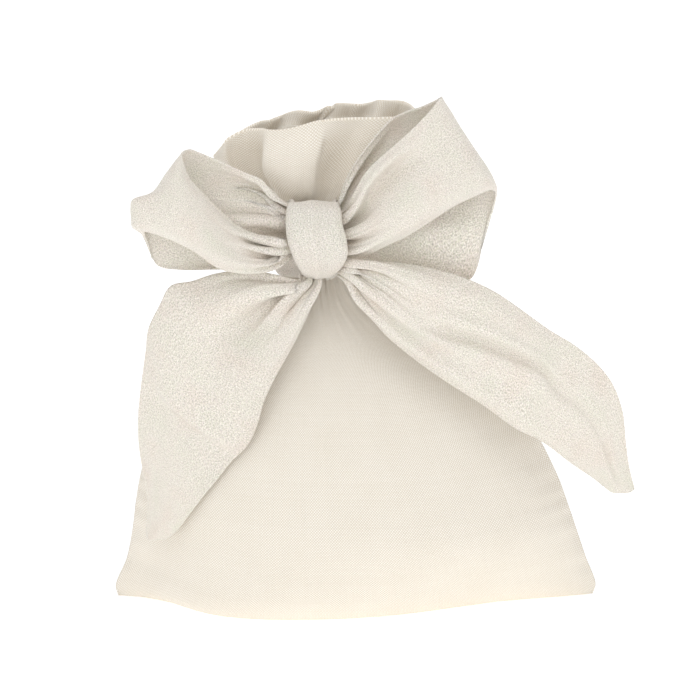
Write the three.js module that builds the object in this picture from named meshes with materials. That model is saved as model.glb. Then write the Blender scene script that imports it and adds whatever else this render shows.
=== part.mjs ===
// Gift pouch: a pillow-type bag of woven cloth, gathered at the neck and tied with one wide ribbon in a bow.
// Units are millimetres, +Z up, +X to the right seen from the front, the front faces -Y.
// The origin is on the flat base, under the middle of the pouch.
import * as THREE from 'three';
import { mergeVertices } from 'three/addons/utils/BufferGeometryUtils.js';

// ---------------------------------------------------------------- driving dimensions
const WALL = 1.2;              // body wall
const FRILL_WALL = 1.0;        // wall of the frill above the tie
const HEM_WALL = 0.6;          // turned-in hem layer
const RIBBON_WALL = 0.9;       // ribbon solids
const GAP = 0.35;              // clearance between touching pieces
const NECK = { x: -9, y: 0 };         // axis of the tied neck
const FRILL_Z = 98.4;          // lowest edge of the frill nodes
const FRILL_BASE_R = 8.8;
const WRAP = { inner: 10.1, outer: 11.4, z0: 85.0, z1: 95.2 };
const KNOT = { back: -12.0, depth: 9.0, bevel: 2.2 };
const SEAM = { half: 1.6, width: 3.6, z0: 3.2, z1: 77, threadR: 0.25 };

// level, left x, right x, front depth, back depth, wall
const BODY = [
  [0, -60.4, 60.3, 28.5, 25.0, 1.2],
  [3, -60.9, 60.9, 29.5, 26.0, 1.2],
  [10, -58.0, 58.3, 30.2, 27.0, 1.2],
  [18, -56.3, 55.6, 30.0, 27.0, 1.2],
  [26, -55.2, 52.9, 29.2, 26.5, 1.2],
  [34, -53.6, 49.8, 27.6, 25.4, 1.2],
  [45, -49.8, 43.8, 24.6, 23.2, 1.2],
  [58, -41.8, 32.6, 20.0, 19.2, 1.3],
  [70, -31.0, 16.5, 14.8, 14.6, 2.2],
  [78, -21.6, 4.2, 11.0, 11.0, 4.6],
  [84, -18.3, 0.3, 9.3, 9.3, 5.7],
  [95.4, -18.3, 0.3, 9.3, 9.3, 5.7],
];
// outline of the resting base: share of the half width -> share of the depth, front and back
const BASE_FRONT = [[-1, 0.05], [-0.9, 0.15], [-0.76, 0.5], [-0.59, 0.84], [-0.4, 0.98], [-0.2, 1], [0, 0.96], [0.2, 0.85], [0.475, 0.6], [0.76, 0.32], [0.925, 0.14], [1, 0.05]];
const BASE_BACK = [[-1, 0.05], [-0.92, 0.2], [-0.76, 0.42], [-0.475, 0.68], [-0.2, 0.88], [0, 0.97], [0.2, 1], [0.4, 0.97], [0.59, 0.82], [0.76, 0.5], [0.9, 0.18], [1, 0.05]];

// top edge of the frill, from its left end to its right end
const FRILL_BACK_TOP = [[-34.3, 0.8, 112.4], [-32.2, 3.4, 115.6], [-29.0, 5.6, 117.8], [-24.5, 8.2, 119.2], [-18.5, 10.2, 121.0], [-12.0, 11.2, 122.2], [-6.0, 12.0, 123.5], [0.0, 12.2, 123.9], [6.0, 12.0, 124.3], [11.0, 10.6, 124.6], [15.0, 7.4, 123.9], [18.0, 0.8, 123.2]];
const FRILL_FRONT_TOP = [[-34.3, -0.8, 112.4], [-32.6, -3.6, 116.0], [-28.8, -6.6, 118.6], [-22.6, -8.8, 119.3], [-15.1, -9.8, 120.3], [-9.4, -9.8, 121.8], [-1.5, -9.6, 122.6], [6.9, -8.6, 122.7], [13.0, -6.0, 122.9], [18.0, -0.8, 123.2]];

// ribbon strips: stations along the ribbon, each [upper edge, lower edge]
const RIGHT_LOOP = [
  [[-0.9, -19.0, 102.7], [-0.7, -19.0, 92.2]], [[0.4, -22.5, 106.0], [3.0, -23.6, 94.2]], [[3.2, -26.4, 113.0], [9.1, -28.2, 98.2]],
  [[8.6, -28.4, 118.3], [16.1, -31.0, 102.7]], [[14.4, -27.4, 124.2], [23.7, -31.0, 107.2]], [[18.4, -25.6, 128.3], [29.9, -28.4, 109.4]],
  [[19.9, -22.0, 129.4], [32.8, -23.0, 107.4]], [[18.9, -17.6, 128.4], [32.2, -17.0, 100.6]], [[16.4, -15.2, 126.6], [29.3, -14.8, 94.4]],
  [[12.4, -14.4, 125.0], [27.8, -14.0, 85.6]], [[8.1, -14.0, 122.4], [17.9, -13.8, 87.5]], [[2.2, -14.0, 114.9], [9.1, -13.8, 88.9]],
  [[-0.6, -14.2, 108.2], [3.0, -14.2, 89.4]], [[-0.9, -14.6, 102.4], [-0.7, -14.6, 90.6]]];
const LEFT_LOOP = [
  [[-18.1, -19.0, 102.6], [-18.1, -19.0, 91.8]], [[-20.0, -22.0, 102.3], [-20.0, -24.0, 89.8]], [[-24.2, -25.6, 102.7], [-26.1, -27.6, 89.2]],
  [[-31.8, -28.4, 104.6], [-32.5, -31.0, 91.0]], [[-37.6, -29.0, 110.0], [-39.7, -32.0, 95.5]], [[-41.1, -27.4, 115.1], [-47.0, -30.0, 99.0]],
  [[-41.6, -23.6, 116.5], [-52.6, -25.0, 102.4]], [[-39.7, -19.0, 116.6], [-49.6, -18.4, 97.0]], [[-37.3, -15.9, 115.8], [-49.0, -15.2, 90.1]],
  [[-34.5, -14.8, 114.1], [-45.3, -14.2, 87.4]], [[-30.0, -14.2, 112.0], [-35.4, -13.8, 87.0]], [[-26.0, -14.0, 109.9], [-28.1, -13.8, 87.6]],
  [[-20.9, -14.2, 106.5], [-21.5, -14.0, 88.9]], [[-18.1, -14.6, 102.2], [-18.1, -14.6, 90.8]]];
const RIGHT_TAIL = [
  [[-1.0, -19.5, 89.0], [-1.0, -19.5, 85.8]],
  [[3.8, -20.5, 90.2], [1.6, -20.0, 79.6]],
  [[13.3, -20.5, 89.2], [9.1, -20.0, 71.3]],
  [[27.5, -20.0, 85.7], [18.5, -20.0, 64.4]],
  [[38.4, -18.5, 79.1], [29.9, -20.0, 55.7]],
  [[46.6, -16.5, 72.7], [38.7, -20.0, 49.2]],
  [[53.3, -15.5, 68.6], [46.8, -19.0, 44.5]],
  [[60.0, -15.0, 62.3], [52.8, -18.0, 39.5]],
  [[64.5, -15.5, 54.2], [58.6, -17.0, 36.0]],
  [[65.9, -16.0, 42.8], [63.1, -16.0, 32.7]],
  [[67.8, -16.0, 33.4], [66.3, -16.0, 32.4]]];
const LEFT_TAIL = [
  [[-13.5, -18.0, 84.3], [-8.7, -18.0, 84.3]],
  [[-22.6, -19.0, 86.2], [-10.6, -18.5, 80.5]],
  [[-32.2, -19.5, 87.5], [-14.3, -19.0, 73.3]],
  [[-44.5, -18.0, 84.1], [-17.4, -20.4, 66.7]],
  [[-47.8, -17.0, 77.3], [-20.0, -22.4, 60.0]],
  [[-50.5, -17.0, 71.6], [-22.7, -23.4, 55.0]],
  [[-51.3, -18.0, 62.7], [-25.6, -25.1, 47.5]],
  [[-52.4, -18.0, 53.2], [-31.4, -24.6, 40.2]],
  [[-52.6, -18.0, 42.7], [-37.1, -23.1, 32.8]],
  [[-51.1, -18.0, 30.7], [-42.5, -20.0, 25.7]],
  [[-51.0, -18.0, 21.3], [-48.5, -18.0, 20.8]]];
const KNOT_OUTLINE = [[-16.4, 102.6], [-13.6, 104.2], [-9.6, 104.6], [-5.6, 104.0], [-3.2, 102.0], [-2.6, 98.0], [-2.2, 93.6], [-3.6, 88.8], [-7.4, 86.4], [-12.0, 87.4], [-14.8, 91.0], [-16.6, 97.0]];

// ---------------------------------------------------------------- helpers
const V = (x, y, z) => new THREE.Vector3(x, y, z);
const clamp01 = (t) => Math.min(1, Math.max(0, t));
const smooth = (t) => { const c = clamp01(t); return c * c * (3 - 2 * c); };

// monotone-free cubic interpolation of a table whose first column is the argument
function table(rows, t, col) {
  let i = 0;
  while (i < rows.length - 2 && t > rows[i + 1][0]) i++;
  const a = rows[i], b = rows[i + 1], h = b[0] - a[0];
  const p = rows[Math.max(0, i - 1)], n = rows[Math.min(rows.length - 1, i + 2)];
  const ma = p === a ? (b[col] - a[col]) / h : (b[col] - p[col]) / (b[0] - p[0]);
  const mb = n === b ? (b[col] - a[col]) / h : (n[col] - a[col]) / (n[0] - a[0]);
  const u = clamp01((t - a[0]) / h), u2 = u * u, u3 = u2 * u;
  return (2 * u3 - 3 * u2 + 1) * a[col] + (u3 - 2 * u2 + u) * h * ma + (3 * u2 - 2 * u3) * b[col] + (u3 - u2) * h * mb;
}
function curvePoint(points, t) {            // point on a polyline through points, t from 0 to 1, smoothed
  const curve = new THREE.CatmullRomCurve3(points.map((p) => V(...p)), false, 'centripetal');
  return curve.getPoint(clamp01(t));
}
// smooth unit normals of a grid of points, pointing to the side of (du x dv) * sign
function gridNormals(g, sign) {
  const R = g.length, C = g[0].length;
  return g.map((row, i) => row.map((p, j) => {
    const a = g[Math.min(R - 1, i + 1)][j].clone().sub(g[Math.max(0, i - 1)][j]);
    const b = g[i][Math.min(C - 1, j + 1)].clone().sub(g[i][Math.max(0, j - 1)]);
    return a.cross(b).normalize().multiplyScalar(sign);
  }));
}
// closed solid between two point grids of equal size
function solidBetween(outer, inner) {
  const R = outer.length, C = outer[0].length, pos = [], idx = [];
  for (const g of [outer, inner]) for (const row of g) for (const p of row) pos.push(p.x, p.y, p.z);
  const o = (i, j) => i * C + j, n = (i, j) => R * C + i * C + j;
  const quad = (a, b, c, d) => idx.push(a, b, c, a, c, d);
  for (let i = 0; i < R - 1; i++) for (let j = 0; j < C - 1; j++) {
    quad(o(i, j), o(i, j + 1), o(i + 1, j + 1), o(i + 1, j));
    quad(n(i, j), n(i + 1, j), n(i + 1, j + 1), n(i, j + 1));
  }
  for (let j = 0; j < C - 1; j++) {
    quad(o(0, j), n(0, j), n(0, j + 1), o(0, j + 1));
    quad(o(R - 1, j), o(R - 1, j + 1), n(R - 1, j + 1), n(R - 1, j));
  }
  for (let i = 0; i < R - 1; i++) {
    quad(o(i, 0), o(i + 1, 0), n(i + 1, 0), n(i, 0));
    quad(o(i, C - 1), n(i, C - 1), n(i + 1, C - 1), o(i + 1, C - 1));
  }
  const geo = new THREE.BufferGeometry();
  geo.setAttribute('position', new THREE.Float32BufferAttribute(pos, 3));
  geo.setIndex(idx);
  // turn the faces outwards if the enclosed volume comes out negative
  let vol = 0;
  for (let k = 0; k < idx.length; k += 3) {
    const [a, b, c] = [idx[k], idx[k + 1], idx[k + 2]].map((q) => V(pos[3 * q], pos[3 * q + 1], pos[3 * q + 2]));
    vol += a.dot(b.cross(c));
  }
  if (vol < 0) { for (let k = 0; k < idx.length; k += 3) [idx[k + 1], idx[k + 2]] = [idx[k + 2], idx[k + 1]]; geo.setIndex(idx); }
  geo.computeVertexNormals();
  return geo;
}
function tube(points, radius, steps, sides) {
  const shape = new THREE.Shape();
  for (let k = 0; k < sides; k++) {
    const a = (k / sides) * Math.PI * 2;
    if (k === 0) shape.moveTo(radius * Math.cos(a), radius * Math.sin(a)); else shape.lineTo(radius * Math.cos(a), radius * Math.sin(a));
  }
  shape.closePath();
  return new THREE.ExtrudeGeometry(shape, { steps, bevelEnabled: false, extrudePath: new THREE.CatmullRomCurve3(points.map((p) => V(...p))) });
}
const group = new THREE.Group();
function add(name, geo, color, roughness) {
  const mesh = new THREE.Mesh(geo, new THREE.MeshStandardMaterial({ color, roughness, metalness: 0 }));
  mesh.name = name;
  group.add(mesh);
}
const CLOTH = 0xebe2d0, RIBBON = 0xe6ded0, THREAD = 0xe9dfca;

// ---------------------------------------------------------------- pouch body
const levelX = (z) => ({ l: table(BODY, z, 1), r: table(BODY, z, 2) });
function tuck(s, z) { return (5.2 + 3.1 * s) * (1 - smooth(z / 26)); }     // the belly hangs over, the foot stands further back
function chordY(s, z) { return (-1.25 - 2.25 * s) * (1 - smooth(z / 76)) + tuck(s, z); }
function section(s, z, side) {              // share of the depth at share s of the half width
  const p = 0.8 - 0.3 * smooth((z - 58) / 22);
  const lens = Math.pow(Math.max(0, 1 - Math.pow(Math.abs(s), 2.1)), p);
  const w = smooth(z / 24);
  return table(side < 0 ? BASE_FRONT : BASE_BACK, s, 1) * (1 - w) + lens * w;
}
function bodyPoint(s, z, side, inset) {
  const { l, r } = levelX(z), end = 1.6 * (1 - smooth((z - 74) / 8)) + 0.2;
  const depth = table(BODY, z, side < 0 ? 3 : 4) * section(s, z, side);
  const cut = inset * Math.min(1, depth / 14);
  return V((l + r) / 2 + s * (r - l) / 2, chordY(s, z) + side * (end + Math.max(0, depth - cut)), z);
}
const COLS = [-0.99, -0.95, -0.88, -0.78, -0.66, -0.5, -0.32, -0.12, 0.08, 0.28, 0.46, 0.62, 0.75, 0.86, 0.94, 0.99];
const ROWS = [95.4, 90, 84, 78, 70, 58, 45, 34, 24, 14, 7, 3];
function panel(side) {
  const outer = [], wall = [];
  for (const z of ROWS) { outer.push(COLS.map((s) => bodyPoint(s, z, side, side < 0 && z < 7 ? 2 : 0))); wall.push(z >= 58 ? table(BODY, z, 5) : WALL); }
  outer.push(COLS.map((s) => bodyPoint(s, 0.9, side, side < 0 ? 4.6 : 1.4))); wall.push(WALL);
  const edge = COLS.map((s) => bodyPoint(s, 0, side, side < 0 ? 7.6 : 4.2));
  const split = COLS.map((s, j) => V(edge[j].x, (3 + tuck(s, 0)) * smooth((1 - Math.abs(s)) / 0.4) + chordY(s, 0) * (1 - smooth((1 - Math.abs(s)) / 0.4)) + side * 0.18, 0));
  for (const f of [0, 0.35, 0.7, 1]) { outer.push(edge.map((p, j) => p.clone().lerp(split[j], f))); wall.push(WALL); }
  const normal = gridNormals(outer, side < 0 ? 1 : -1);
  const inner = outer.map((row, i) => row.map((p, j) => {
    const n = normal[i][j].clone();
    if (i >= ROWS.length + 1) n.set(0, 0, -1);
    if (i <= 2) { n.z = 0; n.normalize(); }
    return p.clone().addScaledVector(n, -wall[i]);
  }));
  return solidBetween(outer, inner);
}
add('pouch_front_panel', panel(-1), CLOTH, 0.85);
add('pouch_back_panel', panel(1), CLOTH, 0.85);

// seam allowances, turned inside between the two panels, with their sewing thread
function seam(name, sgn) {
  const zs = [SEAM.z0, 8, 16, 26, 36, 47, 58, 68, SEAM.z1], outer = [], inner = [], path = [];
  for (const z of zs) {
    const { l, r } = levelX(z), x = sgn < 0 ? l : r, y = chordY(sgn, z), k = z > 66 ? 0.5 : 1;
    outer.push([V(x + sgn * 0.1, y - SEAM.half * k, z), V(x + sgn * 0.1, y + SEAM.half * k, z)]);
    inner.push([V(x - sgn * SEAM.width * k, y - SEAM.half * k, z), V(x - sgn * SEAM.width * k, y + SEAM.half * k, z)]);
    path.push([x - sgn * (SEAM.width * k + GAP + SEAM.threadR + 0.15), y, z]);
  }
  add(`${name}_side_seam`, solidBetween(outer, inner), CLOTH, 0.85);
  add(`${name}_seam_thread`, tube(path, SEAM.threadR, 16, 6), THREAD, 0.6);
}
seam('left', -1);
seam('right', 1);

// ---------------------------------------------------------------- frill above the tie
function frillPoint(u, t, side) {           // u across 0..1 left to right, t up 0..1
  const top = curvePoint(side < 0 ? FRILL_FRONT_TOP : FRILL_BACK_TOP, u);
  const a = Math.PI * (1 - u), e = 0.12 * Math.PI / 2;
  const ang = Math.PI - (Math.PI - 2 * e) * u - e;
  const base = V(NECK.x + FRILL_BASE_R * Math.cos(ang), side * Math.max(0.6, FRILL_BASE_R * Math.sin(a)), FRILL_Z);
  const out = Math.pow(t, 0.85);
  return V(base.x + (top.x - base.x) * out, base.y + (top.y - base.y) * Math.pow(t, 0.7), base.z + (top.z - base.z) * t);
}
function frillShell(side, t0, t1, off, wall, rows, cols) {
  const full = [];
  for (let i = 0; i <= rows; i++) { const row = []; for (let j = 0; j <= cols; j++) row.push(frillPoint(j / cols, t0 + (t1 - t0) * i / rows, side)); full.push(row); }
  const normal = gridNormals(full, side < 0 ? -1 : 1);
  const flat = (n) => { const m = n.clone(); m.z *= 0.4; return m.normalize(); };
  const shift = (d, least) => full.map((row, i) => row.map((p, j) => {
    const q = p.clone().addScaledVector(flat(normal[i][j]), -d);
    q.y = side * Math.max(side * q.y, least);        // each half stays on its own side of the seam plane
    return q;
  }));
  const outer = shift(off, 0.4), inner = shift(off + wall, 0.4);
  return { geo: solidBetween(outer, inner), inner };
}
for (const [side, label] of [[-1, 'front'], [1, 'back']]) {
  add(`frill_${label}`, frillShell(side, 0, 1, 0, FRILL_WALL, 7, 20).geo, CLOTH, 0.85);
  const hem = frillShell(side, 0.5, 0.97, FRILL_WALL + GAP, HEM_WALL, 3, 16);
  add(`${label}_mouth_hem`, hem.geo, CLOTH, 0.85);
  const line = hem.inner[0].slice(3, -3).map((p) => [p.x, p.y - side * 0.9, p.z + 1.2]);
  add(`${label}_hem_thread`, tube(line, 0.25, 16, 6), THREAD, 0.6);
}

// ---------------------------------------------------------------- ribbon
function strip(rows, steps, across, bulge) {
  const up = new THREE.CatmullRomCurve3(rows.map((r) => V(...r[0])), false, 'centripetal');
  const lo = new THREE.CatmullRomCurve3(rows.map((r) => V(...r[1])), false, 'centripetal');
  const grid = [];
  for (let i = 0; i <= steps; i++) {
    const t = i / steps, a = up.getPoint(t), b = lo.getPoint(t), row = [];
    for (let j = 0; j <= across; j++) {
      const v = j / across, p = a.clone().lerp(b, v);
      p.y -= bulge(t, v);
      row.push(p);
    }
    grid.push(row);
  }
  const normal = gridNormals(grid, 1), h = RIBBON_WALL / 2;
  const front = grid.map((row, i) => row.map((p, j) => p.clone().addScaledVector(normal[i][j], h)));
  const back = grid.map((row, i) => row.map((p, j) => p.clone().addScaledVector(normal[i][j], -h)));
  return solidBetween(front, back);
}
const loopBulge = (t, v) => (t < 0.5 ? 2.2 : -0.6) * Math.sin(Math.PI * v) * Math.sin(Math.PI * 2 * Math.min(t, 1 - t));
add('left_loop', strip(LEFT_LOOP, 26, 4, loopBulge), RIBBON, 0.55);
add('right_loop', strip(RIGHT_LOOP, 26, 4, loopBulge), RIBBON, 0.55);
const tailBulge = (t, v) => 1.6 * Math.sin(Math.PI * v) * Math.sin(Math.PI * t);
add('left_tail', strip(LEFT_TAIL, 18, 4, tailBulge), RIBBON, 0.55);
add('right_tail', strip(RIGHT_TAIL, 18, 4, tailBulge), RIBBON, 0.55);

// band round the neck: a closed rectangular profile turned about the neck's axis
const band = new THREE.LatheGeometry([
  new THREE.Vector2(WRAP.inner, 0), new THREE.Vector2(WRAP.outer, 0), new THREE.Vector2(WRAP.outer, WRAP.z1 - WRAP.z0),
  new THREE.Vector2(WRAP.inner, WRAP.z1 - WRAP.z0), new THREE.Vector2(WRAP.inner, 0)], 28);
band.rotateX(Math.PI / 2);
band.translate(NECK.x, NECK.y, WRAP.z0);
band.deleteAttribute('normal'); band.deleteAttribute('uv');
add('ribbon_neck_band', mergeVertices(band, 1e-4), RIBBON, 0.55);

// knot: rounded block in front of the neck band
const knotShape = new THREE.Shape();
const knotCurve = new THREE.CatmullRomCurve3(KNOT_OUTLINE.map(([x, z]) => V(x, z, 0)), true, 'centripetal').getPoints(28);
knotCurve.slice(0, -1).forEach((p, k) => {
  const cx = -9.4, cz = 95.6, f = 1 - KNOT.bevel / Math.hypot(p.x - cx, p.y - cz);
  const x = cx + (p.x - cx) * f, z = cz + (p.y - cz) * f;
  if (k === 0) knotShape.moveTo(x, z); else knotShape.lineTo(x, z);
});
knotShape.closePath();
const knot = new THREE.ExtrudeGeometry(knotShape, { depth: KNOT.depth, bevelEnabled: true, bevelThickness: KNOT.bevel, bevelSize: KNOT.bevel, bevelSegments: 3, curveSegments: 1 });
knot.rotateX(Math.PI / 2);                 // outline into XZ, depth runs to -Y
knot.translate(0, KNOT.back - KNOT.bevel, 0);
add('ribbon_knot', knot, RIBBON, 0.55);

export default group;
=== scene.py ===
# Gift pouch of ivory basket-weave cloth, tied at the neck with one wide crepe ribbon.
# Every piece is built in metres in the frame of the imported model. Tables are in millimetres.
import math
import bpy
import numpy as np
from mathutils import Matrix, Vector


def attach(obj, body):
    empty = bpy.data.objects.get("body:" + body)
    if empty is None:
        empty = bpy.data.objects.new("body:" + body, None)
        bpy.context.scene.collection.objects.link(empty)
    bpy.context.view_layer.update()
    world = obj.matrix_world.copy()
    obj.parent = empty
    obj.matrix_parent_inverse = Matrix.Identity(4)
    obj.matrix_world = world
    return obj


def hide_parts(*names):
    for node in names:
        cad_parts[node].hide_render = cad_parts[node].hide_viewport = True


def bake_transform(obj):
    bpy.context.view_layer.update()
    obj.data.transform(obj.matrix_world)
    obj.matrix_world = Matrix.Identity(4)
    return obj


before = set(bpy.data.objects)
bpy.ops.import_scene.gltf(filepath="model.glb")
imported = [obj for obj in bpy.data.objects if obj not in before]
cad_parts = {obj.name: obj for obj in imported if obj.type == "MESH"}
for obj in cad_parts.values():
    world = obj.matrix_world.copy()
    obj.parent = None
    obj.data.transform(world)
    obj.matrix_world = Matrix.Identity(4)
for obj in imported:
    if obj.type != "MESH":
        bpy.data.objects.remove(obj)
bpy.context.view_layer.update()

MM = 0.001
DENS = 1.0

# ------------------------------------------------------------------ shape tables (mm)
RIGHT_LOOP = [
    [(-5.33, -16.50, 101.12), (-5.33, -16.50, 99.90), (-5.34, -16.50, 98.93), (-5.34, -16.50, 97.72), (-5.34, -16.50, 96.75), (-5.34, -16.50, 95.53), (-5.34, -16.50, 94.56), (-5.34, -16.50, 93.83), (-5.34, -16.50, 93.10)],
    [(-2.70, -17.50, 102.73), (-2.69, -19.00, 101.04), (-2.70, -17.00, 99.26), (-2.69, -19.30, 97.95), (-2.69, -19.30, 96.01), (-2.70, -18.80, 93.98), (-2.70, -18.00, 92.14), (-2.70, -17.00, 91.48), (-2.70, -16.50, 91.15)],
    [(-1.02, -21.00, 106.18), (-0.08, -22.60, 104.51), (1.12, -19.60, 101.98), (1.82, -22.60, 100.67), (2.30, -23.30, 98.38), (2.30, -23.00, 95.68), (1.84, -21.80, 93.18), (2.09, -19.50, 92.65), (2.34, -18.00, 91.66)],
    [(1.81, -24.00, 111.66), (2.75, -25.40, 109.72), (3.48, -22.00, 106.81), (5.12, -24.60, 104.11), (6.29, -26.20, 101.50), (6.78, -26.00, 98.59), (6.57, -24.30, 95.90), (6.94, -23.00, 95.20), (7.32, -21.00, 94.37)],
    [(5.32, -26.00, 115.63), (6.48, -27.40, 114.06), (7.48, -23.60, 111.84), (9.33, -26.60, 108.48), (10.73, -28.30, 105.42), (11.45, -28.00, 102.03), (11.74, -26.00, 98.95), (12.13, -24.60, 98.24), (12.52, -22.80, 97.33)],
    [(9.06, -27.00, 119.09), (10.21, -28.40, 117.28), (11.21, -25.60, 114.75), (13.52, -28.30, 111.11), (15.39, -29.40, 107.96), (16.59, -29.00, 105.29), (17.37, -27.00, 102.71), (17.76, -25.80, 102.03), (18.17, -24.00, 101.14)],
    [(13.02, -27.30, 122.90), (14.41, -28.40, 120.58), (15.85, -27.60, 117.64), (18.18, -29.00, 114.06), (20.29, -29.50, 110.82), (21.74, -29.00, 108.14), (22.51, -27.50, 106.12), (22.91, -26.30, 105.46), (23.34, -24.50, 104.57)],
    [(16.77, -26.60, 126.70), (18.40, -27.50, 123.75), (20.05, -27.80, 120.50), (22.63, -28.40, 116.57), (25.00, -28.60, 113.05), (26.69, -28.00, 110.36), (27.69, -27.00, 108.42), (28.21, -26.00, 107.86), (28.64, -24.50, 107.08)],
    [(19.15, -24.80, 129.30), (21.02, -25.60, 126.10), (22.90, -26.20, 122.88), (25.74, -26.60, 118.44), (28.36, -26.60, 114.42), (30.04, -26.40, 112.02), (31.04, -25.60, 109.64), (31.57, -24.60, 109.01), (31.89, -23.00, 108.05)],
    [(19.88, -21.60, 129.85), (22.08, -22.00, 126.71), (24.45, -22.40, 122.85), (27.55, -22.60, 118.12), (30.19, -22.60, 114.08), (31.87, -22.60, 111.45), (33.04, -22.00, 108.85), (33.18, -21.00, 107.38), (33.17, -19.80, 105.27)],
    [(18.40, -18.40, 128.52), (20.33, -18.00, 125.37), (22.97, -18.00, 121.31), (26.10, -18.00, 116.29), (29.00, -18.00, 111.73), (31.65, -18.00, 108.60), (32.91, -17.40, 105.13), (32.29, -16.40, 100.86), (30.60, -15.20, 95.80)],
    [(15.13, -17.00, 126.80), (16.87, -14.60, 123.02), (19.57, -13.40, 118.06), (22.49, -13.00, 112.93), (25.40, -13.20, 108.11), (28.02, -14.80, 103.27), (29.71, -15.40, 98.99), (29.31, -14.80, 93.29), (27.98, -14.00, 85.18)],
    [(11.59, -16.00, 125.60), (12.84, -13.80, 121.72), (15.01, -14.00, 116.93), (17.00, -12.40, 111.63), (18.72, -12.20, 106.26), (20.15, -13.80, 101.16), (21.08, -15.60, 97.08), (21.38, -15.00, 91.12), (21.21, -14.00, 85.31)],
    [(8.03, -15.60, 123.63), (9.03, -13.40, 119.98), (10.24, -13.60, 115.67), (11.23, -12.80, 110.72), (11.97, -12.60, 105.59), (12.46, -13.60, 100.64), (12.92, -15.40, 96.56), (13.43, -14.80, 91.58), (13.72, -14.00, 86.53)],
    [(3.51, -15.40, 118.57), (4.25, -13.40, 115.64), (4.98, -13.50, 111.79), (5.46, -13.60, 107.93), (5.95, -13.60, 104.05), (6.44, -13.60, 99.91), (6.69, -13.60, 96.01), (6.94, -13.60, 92.10), (6.96, -13.40, 87.65)],
    [(-0.54, -15.40, 113.28), (-0.06, -13.80, 110.39), (0.42, -13.80, 107.48), (0.90, -13.90, 104.58), (1.14, -14.00, 101.68), (1.39, -14.00, 98.76), (1.63, -14.00, 95.35), (1.63, -14.00, 92.17), (1.64, -13.80, 88.46)],
    [(-3.18, -15.00, 108.15), (-2.70, -14.20, 106.09), (-2.46, -14.20, 103.90), (-2.22, -14.20, 101.72), (-1.98, -14.20, 99.53), (-1.98, -14.20, 97.09), (-1.74, -14.20, 94.65), (-1.74, -14.20, 91.96), (-1.74, -14.20, 89.27)],
    [(-4.62, -14.60, 103.24), (-4.62, -14.60, 101.78), (-4.62, -14.60, 100.32), (-4.63, -14.60, 98.86), (-4.63, -14.60, 97.40), (-4.63, -14.60, 95.94), (-4.63, -14.60, 94.47), (-4.63, -14.60, 92.76), (-4.63, -14.60, 91.05)],
]
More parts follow.
